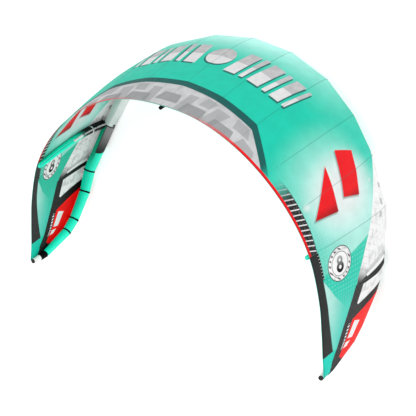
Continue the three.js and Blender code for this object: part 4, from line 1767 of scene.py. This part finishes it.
@dataclass
class Strut:
    """One inflated strut with its ring, the cloth at its sides, its hose and connector."""

    attitude: Attitude
    finishes: Finishes
    rib: float
    label: str
    sides: int = 40
    steps: int = 80
    radius_front: float = 44.0
    radius_rear: float = 30.0
    clearance: float = 1.8
    overhang: float = 14.0
    taper_length: float = 110.0
    end_share: float = 0.7
    end_flatness: float = 0.6
    gap: float = 0.3
    front_start: float = 70.0
    sleeve_length: float = 520.0
    ring_start: float = 368.0
    ring_end: float = 386.0
    ring_lift: float = 0.8
    web_start: float = 95.0
    web_angle_deg: float = 30.0
    web_reach: float = 10.0
    web_gap: float = 3.6
    web_thickness: float = 0.0008
    hose_radius: float = 9.0
    hose_angle_deg: float = 48.0
    hose_clearance: float = 0.6
    clip_width: float = 9.0
    clip_lift: float = 1.6
    connector_start: float = 600.0
    connector_length: float = 140.0
    connector_radius: float = 11.0
    collar_radius: float = 14.8
    collar_axis: float = 15.0
    stub_offset: float = 41.0

    @property
    def length(self) -> float:
        """Length of the rib in mm."""
        return rib_curve(abs(self.rib)).length

    @property
    def outward(self) -> float:
        """Sign of the rib positions on the strut's half wing, plus for the middle strut."""
        return -1.0 if self.rib < 0 else 1.0

    def radius(self, part: float) -> float:
        """Radius of the strut in mm at a place along the rib."""
        return between(self.radius_front, self.radius_rear, min(part, 1.0))

    def taper(self, distance: float) -> float:
        """Share of the radius that is left near the rear end."""
        rear = self.length + self.overhang
        return between(1.0, self.end_share, smooth_step(rear - self.taper_length, rear, distance))

    def axis(self, part: float) -> Spot:
        """Axis point of the strut, with the canopy's normal there."""
        spot = canopy_spot(self.rib, part)
        return Spot(spot.point - spot.normal * (self.radius(part) + self.clearance), spot.normal, spot.along)

    def sideways(self, spot: Spot) -> Vector:
        """Direction beside the strut, the same on both half wings but mirrored."""
        return spot.along.cross(spot.normal) * self.outward

    def swept(self, name: str, start: float, end: float, lift: float = 0.0) -> Piece:
        """Sweeps a ring along the strut.

        Args:
            name: Name of the piece.
            start: Where it starts, in mm along the rib.
            end: Where it ends.
            lift: Height over the strut's surface in mm.

        Returns:
            The new object.
        """
        total = self.length

        def place(across: float, along: float) -> Placed:
            """Point and map coordinates of the grid."""
            distance = between(start, end, along)
            spot = self.axis(distance / total)
            turn = 2 * math.pi * across
            spoke = spot.normal * math.cos(turn) + self.sideways(spot) * math.sin(turn)
            radius = (self.radius(distance / total) + lift) * self.taper(distance)
            return self.attitude.point(spot.point + spoke * radius), (across, distance * MM)

        return place_grid(name, self.sides, self.steps, place, closed=True)

    def build(self) -> None:
        """Makes the sleeve, the tube, the ring, the cloth at the sides and the hose."""
        cloth = self.finishes.middle_strut if self.label == "middle" else self.finishes.strut
        end = self.length + self.overhang
        for word, start, stop, slot in (
            ("sleeve", self.front_start, self.sleeve_length, "black_cloth"),
            ("tube", self.sleeve_length + self.gap, end, "tube_cloth"),
        ):
            piece = self.swept(f"strut_{word}_piece_{self.label}", start, stop)
            dress(piece, cloth, slot, f"strut_{word}_{self.label}")
        self.build_end(end)
        ring = self.swept(f"strut_ring_{self.label}", self.ring_start, self.ring_end, self.ring_lift)
        dress(ring, self.finishes.white, "white_cloth")
        for lateral in (-1, 1):
            self.build_web(lateral, cloth)
        self.build_hose()

    def build_end(self, end: float) -> None:
        """Makes the rounded rear end.

        Args:
            end: Where the tube ends, in mm along the rib.
        """
        spot = self.axis(end / self.length)
        radius = self.radius_rear * self.end_share * MM
        height = radius * self.end_flatness
        angles = [math.pi / 2 * step / 8 for step in range(8)]
        profile = [(0.0, 0.0), *((radius * math.cos(a), height * math.sin(a)) for a in angles), (0.0, height)]
        origin = self.attitude.point(spot.point + spot.along * self.gap)
        direction = self.attitude.direction(spot.along)
        piece = spun_piece(f"strut_end_piece_{self.label}", profile, origin, direction, self.sides)
        middle = self.label == "middle"
        material = self.finishes.black if middle else self.finishes.teal
        dress(piece, material, "black_cloth" if middle else "tube_cloth", f"strut_end_{self.label}")

    def build_web(self, lateral: int, cloth: Material) -> None:
        """Makes the narrow strip of the strut's cloth that joins one of its sides to the canopy.

        Args:
            lateral: -1 for the side towards the middle of the wing, 1 for the other one.
            cloth: The strut's material.
        """
        total = self.length
        angle = math.radians(self.web_angle_deg)
        inner_turn, outer_turn = 0.15, 0.335

        def place(across: float, along: float) -> Placed:
            """Point and map coordinates of the grid."""
            distance = between(self.web_start, total - 4.0, across)
            part = distance / total
            axis = self.axis(part)
            side = self.sideways(axis) * lateral
            radius = self.radius(part) + 0.5
            low = axis.point + (axis.normal * math.sin(angle) + side * math.cos(angle)) * radius
            beyond = (self.web_reach + radius * 0.5) / segment_length(self.rib + 0.5 * self.outward)
            spot = canopy_spot(self.rib + lateral * self.outward * beyond, part)
            high = spot.point - spot.normal * self.web_gap
            point = low.lerp(high, along) - axis.normal * math.sin(math.pi * along)
            return self.attitude.point(point), (between(inner_turn, outer_turn, along), distance * MM)

        web = place_grid(f"strut_tape_{'inner' if lateral < 0 else 'outer'}_{self.label}", 80, 5, place)
        add_thickness(web, self.web_thickness)
        dress(web, cloth, "tube_cloth")

    def beside(self, distance: float, radius: float) -> Spot:
        """Axis, at a distance along the strut, of a round thing of a radius beside it.

        Args:
            distance: Distance along the strut in mm.
            radius: Radius of the round thing in mm.

        Returns:
            Its axis point, the direction away from the strut, and the direction along it.
        """
        curve = rib_curve(abs(self.rib))
        sideways = curve.back.cross(curve.outward).normalized()
        angle = math.radians(self.hose_angle_deg)
        away = curve.outward * -math.cos(angle) + sideways * math.sin(angle)
        away = mirrored(away, self.outward)
        part = distance / self.length
        axis = self.axis(part)
        return Spot(axis.point + away * (self.radius(part) + radius + self.hose_clearance), away, axis.along)

    def beside_tube(
        self, name: str, start: float, end: float, radius: float, axis_radius: float, steps: int
    ) -> Piece:
        """Makes a round rod beside the strut.

        Args:
            name: Name of the piece.
            start: Where it starts, in mm along the rib.
            end: Where it ends.
            radius: Its radius in mm.
            axis_radius: Distance in mm from its axis to the clearance round the strut.
            steps: Number of cells along it.

        Returns:
            The new object.
        """

        def place(across: float, along: float) -> Placed:
            """Point and map coordinates of the grid."""
            spot = self.beside(between(start, end, along), axis_radius)
            other = spot.along.cross(spot.normal).normalized()
            turn = 2 * math.pi * across
            spoke = spot.normal * math.cos(turn) + other * math.sin(turn)
            return self.attitude.point(spot.point + spoke * radius), (across, along)

        return place_grid(name, 20, steps, place, closed=True)

    def build_hose(self) -> None:
        """Makes the inflation hose, its clips and its connector."""
        label, finishes, radius = self.label, self.finishes, self.hose_radius
        start, end = self.connector_start, self.connector_start + self.connector_length
        hose = self.beside_tube(f"hose_piece_{label}", self.front_start, start - self.gap, radius, radius, 60)
        dress(hose, finishes.hose, "hose_tube", f"hose_{label}")
        for number, place in enumerate((100.0, 330.0, 560.0)):
            name, stop = f"hose_clip_{number}_{label}", place + self.clip_width
            clip = self.beside_tube(name, place, stop, radius + self.clip_lift, radius, 2)
            dress(clip, finishes.plug, "plug_plastic")
        name, thickness = f"connector_piece_{label}", self.connector_radius
        body = self.beside_tube(name, start, end, thickness, self.collar_axis, 20)
        dress(body, finishes.connector, "connector_plastic", f"hose_connector_{label}")
        for number, (place, width) in enumerate(((start, 16.0), (start + 26.0, 30.0), (end - 18.0, 18.0))):
            name, stop = f"connector_collar_{number}_{label}", place + width
            collar = self.beside_tube(name, place, stop, self.collar_radius, self.collar_axis, 4)
            soften_edges(collar, 0.0015)
            dress(collar, finishes.connector, "connector_plastic")
        spot = self.beside(start + self.stub_offset, self.collar_axis)
        origin, direction = self.attitude.point(spot.point), self.attitude.direction(spot.normal)
        stub = spun_piece(f"connector_stub_{label}", STUB_PROFILE, origin, direction, steps=24)
        dress(stub, finishes.connector, "connector_plastic")


# Studio


@dataclass
class Studio:
    """Floor, lights, sky and camera."""

    camera_mm: Corner3 = (5455.7, -7033.4, 6086.0)
    look: Corner3 = (-0.5026, 0.7201, -0.4784)
    upward: Corner3 = (-0.2738, 0.3923, 0.8782)
    focal_px: float = 1050.0
    frame_px: float = 416.0
    sensor_mm: float = 36.0
    floor_size: float = 40.0
    floor_drop: float = 0.001
    sky_strength: float = 0.66

    def build(self, attitude: Attitude) -> None:
        """Makes the studio."""
        self.build_floor()
        self.build_lights()
        self.build_sky()
        self.build_camera(attitude)

    def build_floor(self) -> None:
        """Makes the pale floor."""
        bm = bmesh.new()
        bmesh.ops.create_grid(bm, x_segments=8, y_segments=8, size=self.floor_size)
        bmesh.ops.translate(bm, verts=bm.verts, vec=(0, 0, -self.floor_drop))
        floor = smooth_piece("floor", bm)
        material, graph, shader = new_material("pale floor")
        graph.fill(
            shader,
            Base_Color=(0.72, 0.72, 0.72),
            Roughness=0.9,
            Specular_IOR_Level=0.1,
            Emission_Color=(1.0, 1.0, 1.0),
            Emission_Strength=0.45,
        )
        floor.data.materials.append(material)

    def build_lights(self) -> None:
        """Makes the soft lights, each given by name, origin, target, size and power."""
        lights = (
            ("key light", (3.5, 5.5, 9.0), (0.0, 0.2, 0.4), 4.0, 230.0),
            ("top light", (-0.5, -1.5, 10.5), (0.0, -0.2, 0.0), 6.0, 400.0),
            ("right light", (9.0, 1.0, 5.0), (0.5, 0.0, 0.6), 4.0, 60.0),
            ("inner light", (1.5, -5.5, 8.0), (-1.6, 0.0, 0.6), 2.5, 110.0),
        )
        for name, origin, target, size, power in lights:
            light = bpy.data.lights.new(name, "AREA")
            light.shape = "SQUARE"
            light.size = size
            light.energy = power
            lamp = bpy.data.objects.new(name, light)
            lamp.location = origin
            lamp.rotation_mode = "QUATERNION"
            lamp.rotation_quaternion = (Vector(target) - Vector(origin)).to_track_quat("-Z", "Y")
            bpy.context.collection.objects.link(lamp)

    def build_sky(self) -> None:
        """Makes the even sky light."""
        world = bpy.data.worlds.new("studio sky")
        world.use_nodes = True
        sky = Graph(world.node_tree)
        sky.fill(world.node_tree.nodes["Background"], Color=(1.0, 1.0, 1.0), Strength=self.sky_strength)
        bpy.context.scene.world = world
        bpy.context.scene.view_settings.view_transform = "Standard"

    def build_camera(self, attitude: Attitude) -> None:
        """Makes the camera.

        Args:
            attitude: Turns the flying kite's view into the standing one.
        """
        data = bpy.data.cameras.new("camera")
        data.sensor_width = self.sensor_mm
        data.lens = self.focal_px / self.frame_px * self.sensor_mm
        camera = bpy.data.objects.new("camera", data)
        look = attitude.direction(Vector(self.look)).normalized()
        up = attitude.direction(Vector(self.upward))
        right = look.cross(up).normalized()
        up = right.cross(look).normalized()
        camera.location = attitude.point(Vector(self.camera_mm))
        camera.rotation_mode = "QUATERNION"
        camera.rotation_quaternion = Matrix((right, up, -look)).transposed().to_quaternion()
        bpy.context.collection.objects.link(camera)
        bpy.context.scene.camera = camera


def main() -> None:
    """Builds every piece of the kite and its studio."""
    logging.basicConfig(level=logging.INFO, format="%(name)s %(message)s")
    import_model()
    attitude = Attitude()
    finishes = Finishes.make()
    Studio().build(attitude)
    Canopy(attitude, finishes).build()
    LeadingEdge(attitude, finishes).build()
    for rib, label, end_share in ((0.0, "middle", 0.6), (STRUT_RIB, "right", 0.7), (-STRUT_RIB, "left", 0.7)):
        Strut(attitude, finishes, rib, label, end_share=end_share).build()


if __name__ == "__main__":
    main()
